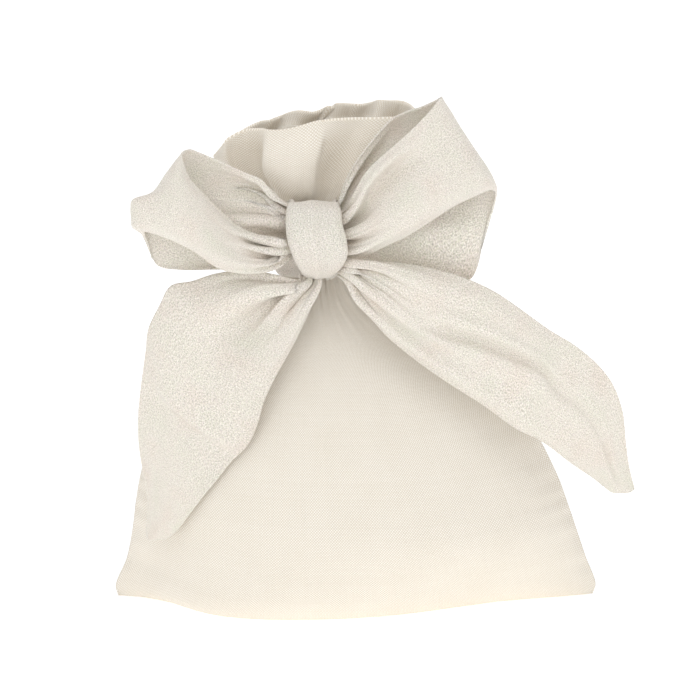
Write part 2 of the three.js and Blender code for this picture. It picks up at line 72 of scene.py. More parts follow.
LEFT_LOOP = [
    [(-14.22, -16.50, 94.80), (-14.22, -16.50, 94.44), (-14.22, -16.50, 94.07), (-14.23, -16.50, 93.58), (-14.23, -16.50, 93.10), (-14.23, -16.50, 92.61), (-14.23, -16.50, 92.24), (-14.23, -16.50, 91.88), (-14.24, -16.50, 91.39)],
    [(-16.69, -19.00, 95.11), (-16.66, -20.40, 94.87), (-16.70, -18.40, 94.04), (-16.67, -20.00, 93.83), (-16.71, -18.20, 93.03), (-16.68, -19.80, 92.82), (-16.59, -18.60, 92.13), (-16.57, -19.40, 91.78), (-16.49, -18.00, 91.05)],
    [(-19.40, -20.20, 96.16), (-19.08, -23.40, 95.63), (-19.18, -20.00, 93.95), (-19.13, -22.00, 93.45), (-19.43, -20.00, 92.25), (-19.37, -22.40, 91.71), (-19.38, -22.00, 90.79), (-19.39, -22.00, 90.07), (-19.67, -20.50, 89.07)],
    [(-23.92, -20.40, 96.92), (-23.60, -23.00, 96.16), (-23.67, -21.40, 94.68), (-23.48, -23.80, 93.89), (-23.39, -23.00, 92.54), (-23.34, -24.80, 91.66), (-23.21, -25.40, 90.56), (-23.11, -25.00, 89.40), (-23.06, -23.00, 88.19)],
    [(-27.96, -20.50, 98.75), (-28.11, -23.00, 97.85), (-28.09, -23.60, 96.50), (-28.05, -25.00, 95.30), (-28.03, -25.80, 94.00), (-27.87, -27.00, 92.77), (-27.74, -27.60, 91.44), (-27.65, -27.40, 89.96), (-27.62, -25.20, 88.35)],
    [(-31.70, -21.50, 102.05), (-32.04, -24.60, 101.00), (-32.23, -26.00, 99.55), (-32.44, -27.00, 98.05), (-32.52, -28.00, 96.54), (-32.62, -28.80, 95.01), (-32.62, -29.20, 93.40), (-32.65, -28.80, 91.77), (-32.65, -26.60, 89.93)],
    [(-35.86, -22.80, 106.58), (-36.42, -26.00, 105.53), (-36.83, -27.60, 104.00), (-37.25, -28.80, 102.40), (-37.47, -29.60, 100.63), (-37.70, -30.00, 98.79), (-37.85, -29.80, 97.09), (-37.91, -29.00, 95.40), (-37.92, -27.00, 93.61)],
    [(-39.33, -23.60, 110.41), (-40.12, -26.60, 109.31), (-41.00, -28.00, 107.63), (-41.78, -29.00, 105.77), (-42.36, -29.60, 103.72), (-42.87, -29.40, 101.67), (-43.29, -28.80, 99.66), (-43.48, -28.00, 97.98), (-43.50, -26.00, 96.32)],
    [(-40.86, -23.00, 113.90), (-42.03, -25.40, 112.70), (-43.39, -26.60, 110.74), (-44.81, -27.00, 108.42), (-46.37, -27.00, 106.28), (-47.23, -27.00, 104.14), (-47.76, -26.60, 102.04), (-47.96, -25.80, 99.64), (-47.88, -24.00, 97.54)],
    [(-41.18, -21.00, 116.35), (-43.06, -21.60, 114.29), (-45.33, -22.00, 111.36), (-48.20, -22.40, 107.35), (-52.58, -22.80, 105.74), (-53.11, -22.80, 103.82), (-53.12, -22.60, 101.27), (-52.97, -22.00, 98.79), (-50.39, -20.40, 97.65)],
    [(-39.54, -18.40, 116.87), (-41.74, -18.00, 113.65), (-44.15, -18.40, 110.11), (-47.03, -18.80, 106.56), (-51.32, -19.20, 104.69), (-52.55, -19.20, 102.52), (-52.50, -18.80, 99.80), (-51.77, -17.80, 97.45), (-49.80, -16.00, 93.74)],
    [(-37.70, -17.40, 116.20), (-39.74, -15.80, 112.37), (-41.47, -15.60, 108.72), (-43.43, -15.60, 105.09), (-45.63, -15.60, 101.94), (-47.12, -15.40, 98.75), (-47.92, -15.00, 95.52), (-48.72, -14.60, 92.03), (-48.09, -14.00, 88.25)],
    [(-34.17, -16.80, 114.61), (-35.26, -14.80, 111.02), (-36.31, -13.80, 107.48), (-37.48, -15.00, 104.27), (-38.71, -15.00, 101.12), (-39.95, -15.00, 97.95), (-40.98, -14.60, 94.47), (-42.01, -14.20, 90.98), (-42.33, -13.60, 87.03)],
    [(-29.89, -17.00, 112.66), (-30.23, -15.00, 109.84), (-30.56, -13.60, 106.96), (-30.70, -16.60, 104.04), (-31.03, -15.00, 100.99), (-31.23, -16.40, 99.16), (-32.28, -15.00, 95.52), (-33.56, -14.40, 91.02), (-34.84, -13.60, 87.07)],
    [(-26.08, -17.00, 110.91), (-25.92, -15.40, 108.69), (-25.99, -13.80, 106.51), (-25.86, -18.00, 104.26), (-25.99, -15.00, 100.99), (-25.90, -18.00, 99.42), (-26.25, -15.40, 97.05), (-26.78, -15.00, 92.10), (-27.59, -13.60, 87.20)],
    [(-22.51, -17.00, 109.41), (-22.33, -15.60, 107.15), (-22.14, -14.60, 104.94), (-22.03, -18.40, 103.12), (-22.14, -15.40, 100.45), (-22.06, -18.20, 99.46), (-22.15, -15.80, 97.60), (-22.41, -16.00, 93.25), (-22.74, -14.00, 88.01)],
    [(-19.31, -17.00, 105.79), (-18.98, -16.40, 104.01), (-18.77, -15.40, 102.39), (-18.71, -18.20, 101.39), (-18.77, -16.00, 99.70), (-18.72, -18.00, 98.94), (-18.78, -16.00, 97.15), (-18.80, -16.00, 93.74), (-18.86, -14.60, 89.10)],
    [(-14.93, -15.50, 102.41), (-14.93, -15.50, 101.44), (-14.94, -15.50, 100.47), (-14.94, -15.50, 99.74), (-14.94, -15.50, 99.01), (-14.95, -15.50, 98.04), (-14.95, -15.50, 96.58), (-14.97, -15.50, 93.90), (-14.98, -15.50, 91.21)],
]
RIGHT_TAIL = [
    [(-4.39, -16.50, 89.19), (-4.39, -16.50, 88.71), (-4.39, -16.50, 88.46), (-4.39, -16.50, 87.97), (-4.39, -16.50, 87.48), (-4.39, -16.50, 87.24), (-4.39, -16.50, 86.75), (-4.39, -16.50, 86.50), (-4.39, -16.50, 86.02)],
    [(-1.50, -18.60, 89.82), (-1.50, -19.60, 89.39), (-1.50, -18.80, 88.63), (-1.50, -19.40, 88.26), (-1.50, -18.80, 87.66), (-1.50, -19.40, 87.16), (-1.62, -17.60, 86.22), (-1.74, -19.00, 85.75), (-1.98, -18.00, 84.83)],
    [(4.24, -19.50, 90.10), (3.99, -21.00, 89.04), (3.52, -20.70, 87.77), (3.29, -20.00, 86.42), (2.81, -20.80, 85.35), (2.33, -20.80, 84.38), (1.86, -19.51, 83.16), (0.90, -20.20, 81.83), (-0.06, -18.60, 80.30)],
    [(10.46, -20.00, 89.83), (10.19, -22.00, 88.01), (9.72, -22.30, 85.63), (9.26, -21.40, 83.28), (8.54, -22.20, 81.48), (7.59, -21.80, 79.94), (6.66, -20.28, 78.42), (5.21, -21.20, 77.14), (4.03, -19.40, 75.80)],
    [(17.64, -20.00, 88.61), (17.35, -22.50, 85.91), (16.40, -23.00, 82.37), (15.49, -22.00, 79.25), (14.30, -22.30, 76.63), (13.11, -22.00, 75.10), (11.71, -20.52, 73.82), (10.02, -21.60, 72.08), (8.61, -19.80, 70.72)],
    [(25.34, -19.50, 86.33), (24.79, -22.00, 83.15), (23.36, -22.60, 79.12), (22.17, -23.20, 76.56), (21.79, -20.91, 72.92), (20.78, -22.80, 71.11), (19.17, -21.24, 68.81), (17.24, -22.00, 66.77), (15.61, -20.00, 65.10)],
    [(33.10, -18.50, 82.48), (32.29, -20.80, 79.75), (31.33, -21.60, 76.24), (30.59, -22.60, 73.76), (30.25, -20.28, 70.33), (29.44, -22.60, 68.37), (27.84, -21.60, 64.47), (25.69, -22.00, 61.10), (23.83, -20.40, 59.51)],
    [(40.43, -17.50, 77.38), (39.37, -19.60, 74.86), (38.64, -20.40, 72.08), (38.13, -21.40, 70.08), (37.56, -19.35, 66.93), (36.49, -21.60, 65.45), (34.89, -21.00, 60.63), (32.74, -21.40, 56.52), (31.15, -19.80, 54.66)],
    [(46.83, -16.50, 72.63), (46.01, -18.40, 70.43), (45.51, -19.20, 67.89), (45.00, -20.00, 66.09), (44.66, -18.48, 63.29), (43.82, -20.50, 61.76), (42.22, -20.30, 56.76), (39.85, -20.50, 51.85), (38.26, -19.20, 49.30)],
    [(53.01, -15.60, 68.73), (51.74, -16.73, 65.99), (50.49, -17.66, 63.22), (49.54, -18.23, 61.05), (48.59, -17.53, 58.37), (47.66, -19.00, 56.64), (46.02, -19.09, 52.52), (44.56, -19.05, 48.82), (43.69, -18.40, 46.35)],
    [(58.48, -15.00, 64.01), (57.05, -16.05, 61.50), (55.63, -16.93, 58.95), (54.55, -17.46, 56.95), (53.46, -16.96, 54.51), (52.43, -18.20, 52.90), (50.56, -18.34, 49.11), (48.90, -18.33, 45.71), (47.90, -17.80, 43.45)],
    [(62.46, -15.00, 58.79), (60.97, -15.90, 56.56), (59.50, -16.64, 54.30), (58.37, -17.08, 52.53), (57.21, -16.71, 50.38), (56.15, -17.67, 48.93), (54.19, -17.74, 45.57), (52.46, -17.67, 42.54), (51.40, -17.20, 40.54)],
    [(64.88, -15.30, 52.11), (63.44, -16.01, 50.46), (62.01, -16.60, 48.78), (60.92, -16.94, 47.46), (59.78, -16.66, 45.85), (58.77, -17.38, 44.76), (56.86, -17.40, 42.24), (55.17, -17.30, 39.96), (54.14, -16.90, 38.45)],
    [(65.72, -15.60, 45.16), (64.47, -16.14, 44.19), (63.23, -16.57, 43.19), (62.28, -16.82, 42.39), (61.32, -16.33, 41.33), (60.41, -17.12, 40.76), (58.75, -17.08, 39.21), (57.29, -16.94, 37.81), (56.39, -16.60, 36.86)],
    [(66.68, -15.90, 38.70), (65.57, -16.29, 38.36), (64.47, -16.59, 37.99), (63.63, -16.76, 37.70), (62.76, -16.39, 37.23), (61.97, -16.93, 37.06), (60.49, -16.85, 36.43), (59.19, -16.69, 35.84), (58.39, -16.40, 35.42)],
    [(68.14, -16.00, 32.92), (67.64, -16.20, 32.52), (67.01, -16.40, 32.19), (66.27, -16.50, 32.04), (65.28, -16.60, 31.99), (64.06, -16.60, 31.99), (62.59, -16.60, 32.19), (61.36, -16.50, 33.05), (60.25, -16.40, 34.03)],
]
LEFT_TAIL = [
    [(-13.53, -16.50, 86.50), (-12.81, -16.50, 86.50), (-12.09, -16.50, 86.50), (-11.37, -16.50, 86.50), (-10.89, -16.50, 86.50), (-10.16, -16.50, 86.50), (-9.44, -16.50, 86.50), (-8.96, -16.50, 86.50), (-8.24, -16.50, 86.50)],
    [(-13.99, -18.00, 85.07), (-13.26, -18.80, 84.98), (-12.55, -18.00, 84.58), (-11.85, -17.00, 84.27), (-11.10, -18.80, 84.49), (-10.38, -18.80, 84.25), (-9.66, -18.50, 84.07), (-8.94, -18.60, 83.96), (-8.23, -17.60, 83.77)],
    [(-19.48, -19.00, 86.48), (-18.01, -20.60, 85.56), (-16.59, -20.40, 84.30), (-15.45, -17.80, 82.59), (-14.21, -19.80, 82.24), (-13.00, -20.40, 81.62), (-12.05, -20.20, 80.85), (-11.09, -20.40, 80.40), (-10.15, -19.00, 79.88)],
    [(-26.65, -19.50, 87.67), (-24.43, -21.80, 85.78), (-22.29, -22.00, 83.39), (-20.25, -18.60, 80.05), (-18.29, -20.40, 78.94), (-16.36, -21.20, 78.12), (-14.68, -21.30, 77.16), (-13.48, -21.40, 76.45), (-12.31, -19.80, 75.63)],
    [(-33.60, -19.50, 87.06), (-31.13, -22.00, 84.12), (-28.49, -22.80, 80.87), (-25.08, -18.80, 76.41), (-22.40, -20.30, 74.51), (-19.96, -21.80, 73.59), (-17.80, -22.30, 72.47), (-15.88, -22.40, 71.76), (-14.72, -20.60, 70.89)],
    [(-39.40, -19.00, 85.14), (-36.90, -21.80, 81.65), (-33.77, -23.00, 77.74), (-29.85, -20.40, 73.30), (-26.47, -21.30, 70.79), (-23.79, -22.80, 69.64), (-21.15, -23.20, 68.50), (-18.99, -23.40, 67.56), (-17.36, -21.60, 66.19)],
    [(-44.49, -18.50, 83.94), (-41.75, -21.00, 79.54), (-38.12, -22.70, 75.00), (-34.11, -22.40, 70.53), (-30.54, -22.40, 67.83), (-27.39, -23.60, 66.13), (-24.50, -24.20, 64.79), (-21.87, -24.20, 63.56), (-19.77, -22.60, 61.98)],
    [(-47.23, -18.00, 79.20), (-44.73, -20.30, 75.00), (-41.56, -22.00, 70.69), (-37.72, -22.90, 66.72), (-34.14, -23.20, 63.83), (-30.76, -24.00, 61.80), (-27.40, -24.60, 59.97), (-24.53, -24.60, 58.49), (-22.19, -23.00, 56.64)],
    [(-49.97, -17.80, 73.51), (-47.73, -19.80, 69.25), (-44.80, -21.40, 64.91), (-40.93, -22.50, 60.97), (-37.09, -23.00, 57.88), (-33.47, -23.80, 55.60), (-29.86, -24.40, 53.76), (-26.75, -24.40, 52.03), (-24.16, -23.00, 49.96)],
    [(-50.67, -17.60, 68.04), (-49.30, -19.20, 63.45), (-47.09, -20.70, 58.84), (-43.70, -21.80, 54.63), (-39.84, -22.50, 51.58), (-35.98, -23.20, 49.02), (-32.36, -23.60, 47.13), (-29.00, -23.60, 45.64), (-26.62, -22.76, 45.19)],
    [(-52.03, -17.40, 59.33), (-49.37, -18.57, 57.30), (-46.52, -19.62, 55.06), (-43.68, -20.47, 52.77), (-41.08, -21.05, 50.61), (-38.49, -21.45, 48.41), (-35.69, -21.68, 45.98), (-32.69, -21.68, 43.29), (-30.30, -22.06, 41.27)],
    [(-52.88, -17.30, 51.83), (-50.57, -18.35, 50.11), (-48.09, -19.30, 48.20), (-45.63, -20.04, 46.24), (-43.37, -20.55, 44.39), (-41.12, -20.88, 42.49), (-38.69, -21.05, 40.39), (-36.08, -21.00, 38.07), (-34.02, -21.35, 36.34)],
    [(-52.88, -17.20, 44.31), (-51.00, -18.09, 42.93), (-48.97, -18.88, 41.40), (-46.96, -19.49, 39.83), (-45.12, -19.90, 38.34), (-43.29, -20.16, 36.82), (-41.31, -20.28, 35.12), (-39.19, -20.20, 33.23), (-37.52, -20.18, 31.76)],
    [(-52.03, -17.00, 37.47), (-50.64, -17.74, 36.36), (-49.16, -18.40, 35.13), (-47.68, -18.91, 33.85), (-46.33, -19.25, 32.65), (-44.99, -19.46, 31.40), (-43.55, -19.55, 30.02), (-42.00, -19.48, 28.48), (-40.79, -19.30, 27.24)],
    [(-50.92, -17.00, 29.64), (-50.01, -17.53, 29.00), (-49.04, -18.00, 28.27), (-48.07, -18.36, 27.51), (-47.19, -18.60, 26.79), (-46.31, -18.75, 26.04), (-45.36, -18.80, 25.20), (-44.35, -18.74, 24.26), (-43.56, -18.60, 23.50)],
    [(-51.40, -17.00, 22.29), (-51.27, -17.30, 21.61), (-51.07, -17.50, 20.91), (-50.77, -17.70, 20.38), (-50.14, -17.90, 20.38), (-49.40, -18.00, 20.49), (-48.54, -18.00, 20.59), (-47.68, -18.00, 20.69), (-46.82, -18.00, 20.79)],
]
KNOT = [
    [(-16.00, -8.00, 101.56), (-16.71, -11.00, 101.93), (-15.40, -12.50, 102.35), (-13.09, -12.50, 102.57), (-10.79, -12.85, 102.71), (-8.49, -12.35, 102.60), (-5.68, -12.60, 102.42), (-3.89, -11.00, 101.93), (-4.68, -8.00, 101.56)],
    [(-15.36, -10.90, 103.08), (-15.98, -13.90, 103.49), (-14.82, -15.40, 103.83), (-12.80, -15.40, 103.96), (-10.77, -15.75, 104.07), (-8.75, -15.25, 103.97), (-6.27, -15.50, 103.88), (-4.70, -13.90, 103.49), (-5.40, -10.90, 103.08)],
    [(-15.39, -15.00, 103.49), (-16.02, -18.00, 103.90), (-14.84, -19.50, 104.24), (-12.77, -19.50, 104.37), (-10.69, -19.85, 104.48), (-8.62, -19.35, 104.38), (-6.09, -19.60, 104.29), (-4.49, -18.00, 103.90), (-5.19, -15.00, 103.49)],
    [(-15.85, -18.00, 102.11), (-16.55, -21.00, 102.57), (-15.24, -22.50, 102.86), (-12.95, -22.50, 102.91), (-10.65, -22.85, 102.99), (-8.36, -22.35, 102.90), (-5.55, -22.60, 102.89), (-3.77, -21.00, 102.57), (-4.55, -18.00, 102.11)],
    [(-15.93, -20.00, 99.27), (-16.66, -23.00, 99.77), (-15.31, -24.50, 100.02), (-12.94, -24.50, 100.02), (-10.56, -24.85, 100.08), (-8.20, -24.35, 100.00), (-5.30, -24.60, 100.04), (-3.46, -23.00, 99.77), (-4.26, -20.00, 99.27)],
    [(-15.48, -20.80, 95.54), (-16.25, -23.80, 96.06), (-14.84, -25.30, 96.32), (-12.37, -25.30, 96.32), (-9.89, -25.65, 96.38), (-7.43, -25.15, 96.29), (-4.41, -25.40, 96.33), (-2.49, -23.80, 96.06), (-3.32, -20.80, 95.54)],
    [(-14.43, -20.20, 91.80), (-15.15, -23.20, 92.34), (-13.83, -24.70, 92.60), (-11.52, -24.70, 92.60), (-9.21, -25.05, 92.66), (-6.90, -24.55, 92.58), (-4.07, -24.80, 92.62), (-2.28, -23.20, 92.34), (-3.06, -20.20, 91.80)],
    [(-13.34, -18.40, 88.81), (-13.91, -21.40, 89.35), (-12.84, -22.90, 89.62), (-10.97, -22.90, 89.62), (-9.08, -23.25, 89.69), (-7.21, -22.75, 89.60), (-4.91, -23.00, 89.64), (-3.46, -21.40, 89.35), (-4.10, -18.40, 88.81)],
    [(-12.37, -16.00, 86.38), (-12.77, -19.00, 86.97), (-12.00, -20.50, 87.19), (-10.66, -20.50, 87.13), (-9.31, -20.85, 87.16), (-7.97, -20.35, 87.08), (-6.33, -20.60, 87.19), (-5.30, -19.00, 86.97), (-5.76, -16.00, 86.38)],
    [(-11.51, -12.80, 84.91), (-11.77, -15.80, 85.52), (-11.24, -17.30, 85.71), (-10.32, -17.30, 85.60), (-9.39, -17.65, 85.62), (-8.48, -17.15, 85.54), (-7.35, -17.40, 85.70), (-6.65, -15.80, 85.52), (-6.98, -12.80, 84.91)],
    [(-12.21, -9.00, 84.82), (-12.58, -12.00, 85.43), (-11.87, -13.50, 85.62), (-10.61, -13.50, 85.51), (-9.36, -13.85, 85.53), (-8.11, -13.35, 85.45), (-6.58, -13.60, 85.61), (-5.62, -12.00, 85.43), (-6.06, -9.00, 84.82)],
]
FRILL = [
    [(-20.65, 0.00, 98.43), (-28.50, 0.50, 101.33), (-32.62, 0.50, 107.28), (-34.31, 0.80, 110.94), (-34.78, 0.80, 112.42)],
    [(-19.31, -4.00, 99.33), (-25.85, -5.00, 102.45), (-29.94, -5.00, 108.10), (-32.10, -4.40, 113.16), (-32.87, -3.00, 115.29)],
    [(-18.54, -5.50, 99.82), (-23.67, -4.50, 102.62), (-28.07, -3.00, 108.29), (-29.99, -2.40, 113.61), (-30.44, -2.60, 117.44)],
    [(-17.56, -6.00, 100.15), (-21.75, -3.40, 102.94), (-25.65, -2.20, 108.67), (-26.73, -1.60, 113.74), (-26.76, -3.00, 119.20)],
    [(-16.81, -6.80, 100.52), (-20.01, -4.60, 103.62), (-22.19, -3.60, 109.12), (-22.66, -3.20, 113.97), (-23.74, -6.40, 119.77)],
    [(-15.82, -7.60, 100.90), (-18.66, -9.60, 104.89), (-22.09, -10.80, 110.43), (-22.30, -11.00, 115.31), (-21.48, -9.00, 120.12)],
    [(-14.35, -8.20, 101.24), (-15.73, -10.80, 105.32), (-17.35, -12.80, 110.72), (-17.32, -12.80, 115.80), (-17.12, -10.40, 120.43)],
    [(-12.89, -8.40, 101.52), (-13.07, -11.20, 105.38), (-13.26, -13.20, 110.78), (-13.24, -13.20, 116.10), (-13.02, -11.00, 121.47)],
    [(-11.44, -8.30, 101.74), (-10.67, -10.80, 105.32), (-10.15, -12.40, 110.66), (-9.41, -13.00, 116.07), (-9.66, -11.00, 122.44)],
    [(-10.23, -7.60, 101.63), (-9.49, -8.20, 105.16), (-8.99, -8.60, 110.59), (-7.26, -11.40, 118.27), (-6.78, -10.80, 122.70)],
    [(-8.78, -7.00, 101.54), (-7.81, -6.80, 104.94), (-6.83, -6.40, 110.76), (-4.63, -9.40, 118.36), (-3.90, -10.00, 122.77)],
    [(-7.33, -7.00, 101.29), (-5.87, -6.40, 104.88), (-3.92, -6.20, 111.22), (-1.74, -8.40, 118.34), (-1.02, -9.40, 122.78)],
    [(-5.87, -7.00, 101.05), (-3.68, -7.80, 104.85), (-0.78, -8.60, 111.81), (1.63, -9.20, 117.72), (2.83, -8.80, 122.85)],
    [(-4.66, -6.00, 100.64), (-1.26, -7.00, 103.99), (2.61, -8.40, 111.05), (5.49, -8.80, 117.18), (7.18, -7.80, 122.82)],
    [(-3.70, -4.00, 99.82), (0.94, -4.60, 102.63), (5.79, -5.00, 109.57), (9.40, -5.40, 116.47), (11.56, -5.40, 122.71)],
    [(-2.73, 0.00, 98.68), (2.92, 0.00, 101.16), (9.27, 0.00, 108.09), (13.88, 0.00, 116.22), (16.29, 0.00, 122.85)],
    [(-3.47, 4.00, 98.53), (1.47, 5.50, 101.54), (7.89, 7.00, 108.30), (12.07, 7.60, 116.18), (14.23, 6.40, 123.64)],
    [(-4.72, 6.00, 98.71), (-0.51, 8.00, 102.15), (4.46, 10.00, 108.86), (8.42, 11.00, 116.72), (11.35, 10.20, 124.53)],
    [(-6.21, 7.20, 99.02), (-3.24, 9.00, 102.75), (0.48, 9.00, 110.00), (3.94, 8.60, 117.53), (7.41, 11.00, 124.53)],
    [(-7.71, 8.00, 99.14), (-5.73, 11.00, 102.94), (-2.99, 12.40, 110.02), (-0.01, 12.60, 117.50), (2.96, 12.40, 124.01)],
    [(-9.20, 8.20, 99.11), (-7.97, 11.00, 103.19), (-5.74, 13.00, 110.18), (-3.49, 13.40, 117.40), (-1.00, 12.60, 123.74)],
    [(-10.44, 8.20, 99.11), (-9.95, 10.00, 103.35), (-8.69, 9.60, 110.67), (-7.19, 9.60, 117.90), (-4.72, 12.00, 123.71)],
    [(-11.93, 8.20, 99.11), (-11.71, 11.00, 103.19), (-10.96, 12.40, 110.02), (-9.70, 12.20, 117.05), (-6.70, 11.80, 123.34)],
    [(-13.41, 8.00, 98.89), (-13.70, 11.00, 102.94), (-13.96, 13.20, 109.65), (-13.43, 12.80, 116.47), (-10.41, 11.00, 122.14)],
    [(-14.90, 7.60, 98.70), (-15.91, 9.60, 102.90), (-16.87, 9.40, 109.70), (-16.58, 8.60, 116.29), (-14.62, 11.00, 121.95)],
    [(-16.37, 7.00, 98.55), (-18.15, 9.60, 102.40), (-19.90, 11.40, 108.91), (-20.35, 11.00, 115.22), (-18.59, 11.00, 120.95)],
    [(-17.59, 6.00, 98.46), (-20.35, 8.00, 102.15), (-22.84, 9.80, 108.39), (-23.78, 9.40, 114.19), (-22.26, 9.40, 120.16)],
    [(-18.55, 4.60, 98.43), (-22.78, 6.40, 101.90), (-26.18, 6.00, 108.20), (-27.36, 5.60, 113.47), (-25.89, 7.00, 119.11)],
    [(-19.73, 2.40, 98.29), (-25.92, 4.00, 101.53), (-29.83, 4.40, 107.44), (-31.03, 4.60, 112.13), (-29.75, 4.40, 117.23)],
]

# level, left x, right x, front depth, back depth
BODY = np.array([
    [0, -60.4, 60.3, 28.5, 25.0], [3, -60.9, 60.9, 29.5, 26.0], [10, -58.0, 58.3, 30.2, 27.0], [18, -56.3, 55.6, 30.0, 27.0],
    [26, -55.2, 52.9, 29.2, 26.5], [34, -53.6, 49.8, 27.6, 25.4], [45, -49.8, 43.8, 24.6, 23.2], [58, -41.8, 32.6, 20.0, 19.2],
    [70, -31.0, 16.5, 14.8, 14.6], [78, -21.6, 4.2, 11.0, 11.0], [84, -17.8, -0.2, 8.9, 8.9], [95, -17.6, -0.4, 8.7, 8.7]])
BASE_FRONT = np.array([[-1, 0.0], [-0.9, 0.13], [-0.76, 0.5], [-0.59, 0.84], [-0.4, 0.98], [-0.2, 1], [0, 0.96], [0.2, 0.85], [0.475, 0.6], [0.76, 0.32], [0.925, 0.13], [1, 0.0]])
BASE_BACK = np.array([[-1, 0.0], [-0.92, 0.18], [-0.76, 0.42], [-0.475, 0.68], [-0.2, 0.88], [0, 0.97], [0.2, 1], [0.4, 0.97], [0.59, 0.82], [0.76, 0.5], [0.9, 0.18], [1, 0.0]])
NECK = np.array([-9.0, 0.0])


# ------------------------------------------------------------------ small numeric helpers
def smooth(t):
    t = np.clip(t, 0, 1)
    return t * t * (3 - 2 * t)


def hermite(rows, t, col):
    """cubic interpolation of a table, the first column being the argument"""
    rows = np.asarray(rows, float)
    x, y = rows[:, 0], rows[:, col]
    m = np.gradient(y, x)
    m[1:-1] = (y[2:] - y[:-2]) / (x[2:] - x[:-2])
    t = np.asarray(t, float)
    i = np.clip(np.searchsorted(x, t, side="right") - 1, 0, len(x) - 2)
    h = x[i + 1] - x[i]
    u = np.clip((t - x[i]) / h, 0, 1)
    u2, u3 = u * u, u * u * u
    return (2 * u3 - 3 * u2 + 1) * y[i] + (u3 - 2 * u2 + u) * h * m[i] + (3 * u2 - 2 * u3) * y[i + 1] + (u3 - u2) * h * m[i + 1]


def spline(P, t, closed=False):
    """Catmull-Rom along the first axis; t runs over 0..len-1, or 0..len when closed"""
    P = np.asarray(P, float)
    n = len(P)
    t = np.asarray(t, float)
    if closed:
        i = np.floor(t).astype(int)
        u = t - i
        idx = [(i + k) % n for k in (-1, 0, 1, 2)]
        p0, p1, p2, p3 = (P[k] for k in idx)
    else:
        i = np.clip(np.floor(t).astype(int), 0, n - 2)
        u = t - i
        Q = np.concatenate([[2 * P[0] - P[1]], P, [2 * P[-1] - P[-2]]])
        p0, p1, p2, p3 = Q[i], Q[i + 1], Q[i + 2], Q[i + 3]
    u = u.reshape((-1,) + (1,) * (P.ndim - 1))
    return 0.5 * ((2 * p1) + (-p0 + p2) * u + (2 * p0 - 5 * p1 + 4 * p2 - p3) * u * u + (-p0 + 3 * p1 - 3 * p2 + p3) * u ** 3)


def patch(net, nu, nv, closed_v=False):
    """dense grid from a control net: nu samples along, nv across"""
    net = np.asarray(net, float)
    g = spline(net, np.linspace(0, len(net) - 1, nu))
    g = np.swapaxes(g, 0, 1)
    m = net.shape[1]
    t = np.linspace(0, m, nv, endpoint=False) if closed_v else np.linspace(0, m - 1, nv)
    g = spline(g, t, closed_v)
    return np.swapaxes(g, 0, 1)


def even(G, axis=0):
    """respace the samples of a grid evenly along one axis, by mean arc length"""
    A = G if axis == 0 else np.swapaxes(G, 0, 1)
    step = np.linalg.norm(np.diff(A, axis=0), axis=2).mean(axis=1)
    s = np.concatenate([[0], np.cumsum(step)])
    want = np.linspace(0, s[-1], len(s))
    out = np.empty_like(A)
    for j in range(A.shape[1]):
        for k in range(3):
            out[:, j, k] = np.interp(want, s, A[:, j, k])
    return out if axis == 0 else np.swapaxes(out, 0, 1)


def normals(G, closed_v=False):
    du = np.gradient(G, axis=0)
    if closed_v:
        W = np.concatenate([G[:, -1:], G, G[:, :1]], axis=1)
        dv = (W[:, 2:] - W[:, :-2]) / 2
    else:
        dv = np.gradient(G, axis=1)
    n = np.cross(du, dv)
    n /= np.linalg.norm(n, axis=2, keepdims=True) + 1e-12
    return n


def wave(x, y, seed, octaves=3):
    """seeded smooth noise in about -1..1 from rotated sine products"""
    rng = np.random.default_rng(seed)
    out, amp, f = 0.0, 1.0, 1.0
    for _ in range(octaves):
        for _k in range(3):
            a, p, q = rng.uniform(0, math.pi), rng.uniform(0, 6.28), rng.uniform(0.7, 1.3)
            out = out + amp * np.sin(f * q * (x * math.cos(a) + y * math.sin(a)) + p + 1.3 * np.sin(f * 0.6 * (y * math.cos(a) - x * math.sin(a)) + q))
        amp *= 0.5
        f *= 2.1
    return out / 4.0


def relax(G, n, k=0.5, closed_v=False):
    """light Laplacian smoothing of a grid that keeps its border"""
    G = G.copy()
    for _ in range(n):
        A = G.copy()
        up, dn = A[:-2], A[2:]
        if closed_v:
            lf, rt = np.roll(A, 1, axis=1)[1:-1], np.roll(A, -1, axis=1)[1:-1]
            G[1:-1] = A[1:-1] * (1 - k) + k * (up + dn + lf + rt) / 4
        else:
            lf, rt = A[1:-1, :-2], A[1:-1, 2:]
            G[1:-1, 1:-1] = A[1:-1, 1:-1] * (1 - k) + k * (up[:, 1:-1] + dn[:, 1:-1] + lf + rt) / 4
    return G


# ------------------------------------------------------------------ mesh building
def object_from(name, verts, faces, uvs, mat):
    me = bpy.data.meshes.new(name)
    me.from_pydata([tuple(v) for v in verts], [], faces)
    if uvs is not None:
        layer = me.uv_layers.new(name="thread")
        idx = np.empty(len(me.loops), np.int32)
        me.loops.foreach_get("vertex_index", idx)
        layer.data.foreach_set("uv", np.asarray(uvs, np.float32)[idx].ravel())
    me.polygons.foreach_set("use_smooth", np.ones(len(me.polygons), bool))
    me.materials.append(mat)
    me.update()
    ob = bpy.data.objects.new(name, me)
    bpy.context.scene.collection.objects.link(ob)
    return ob


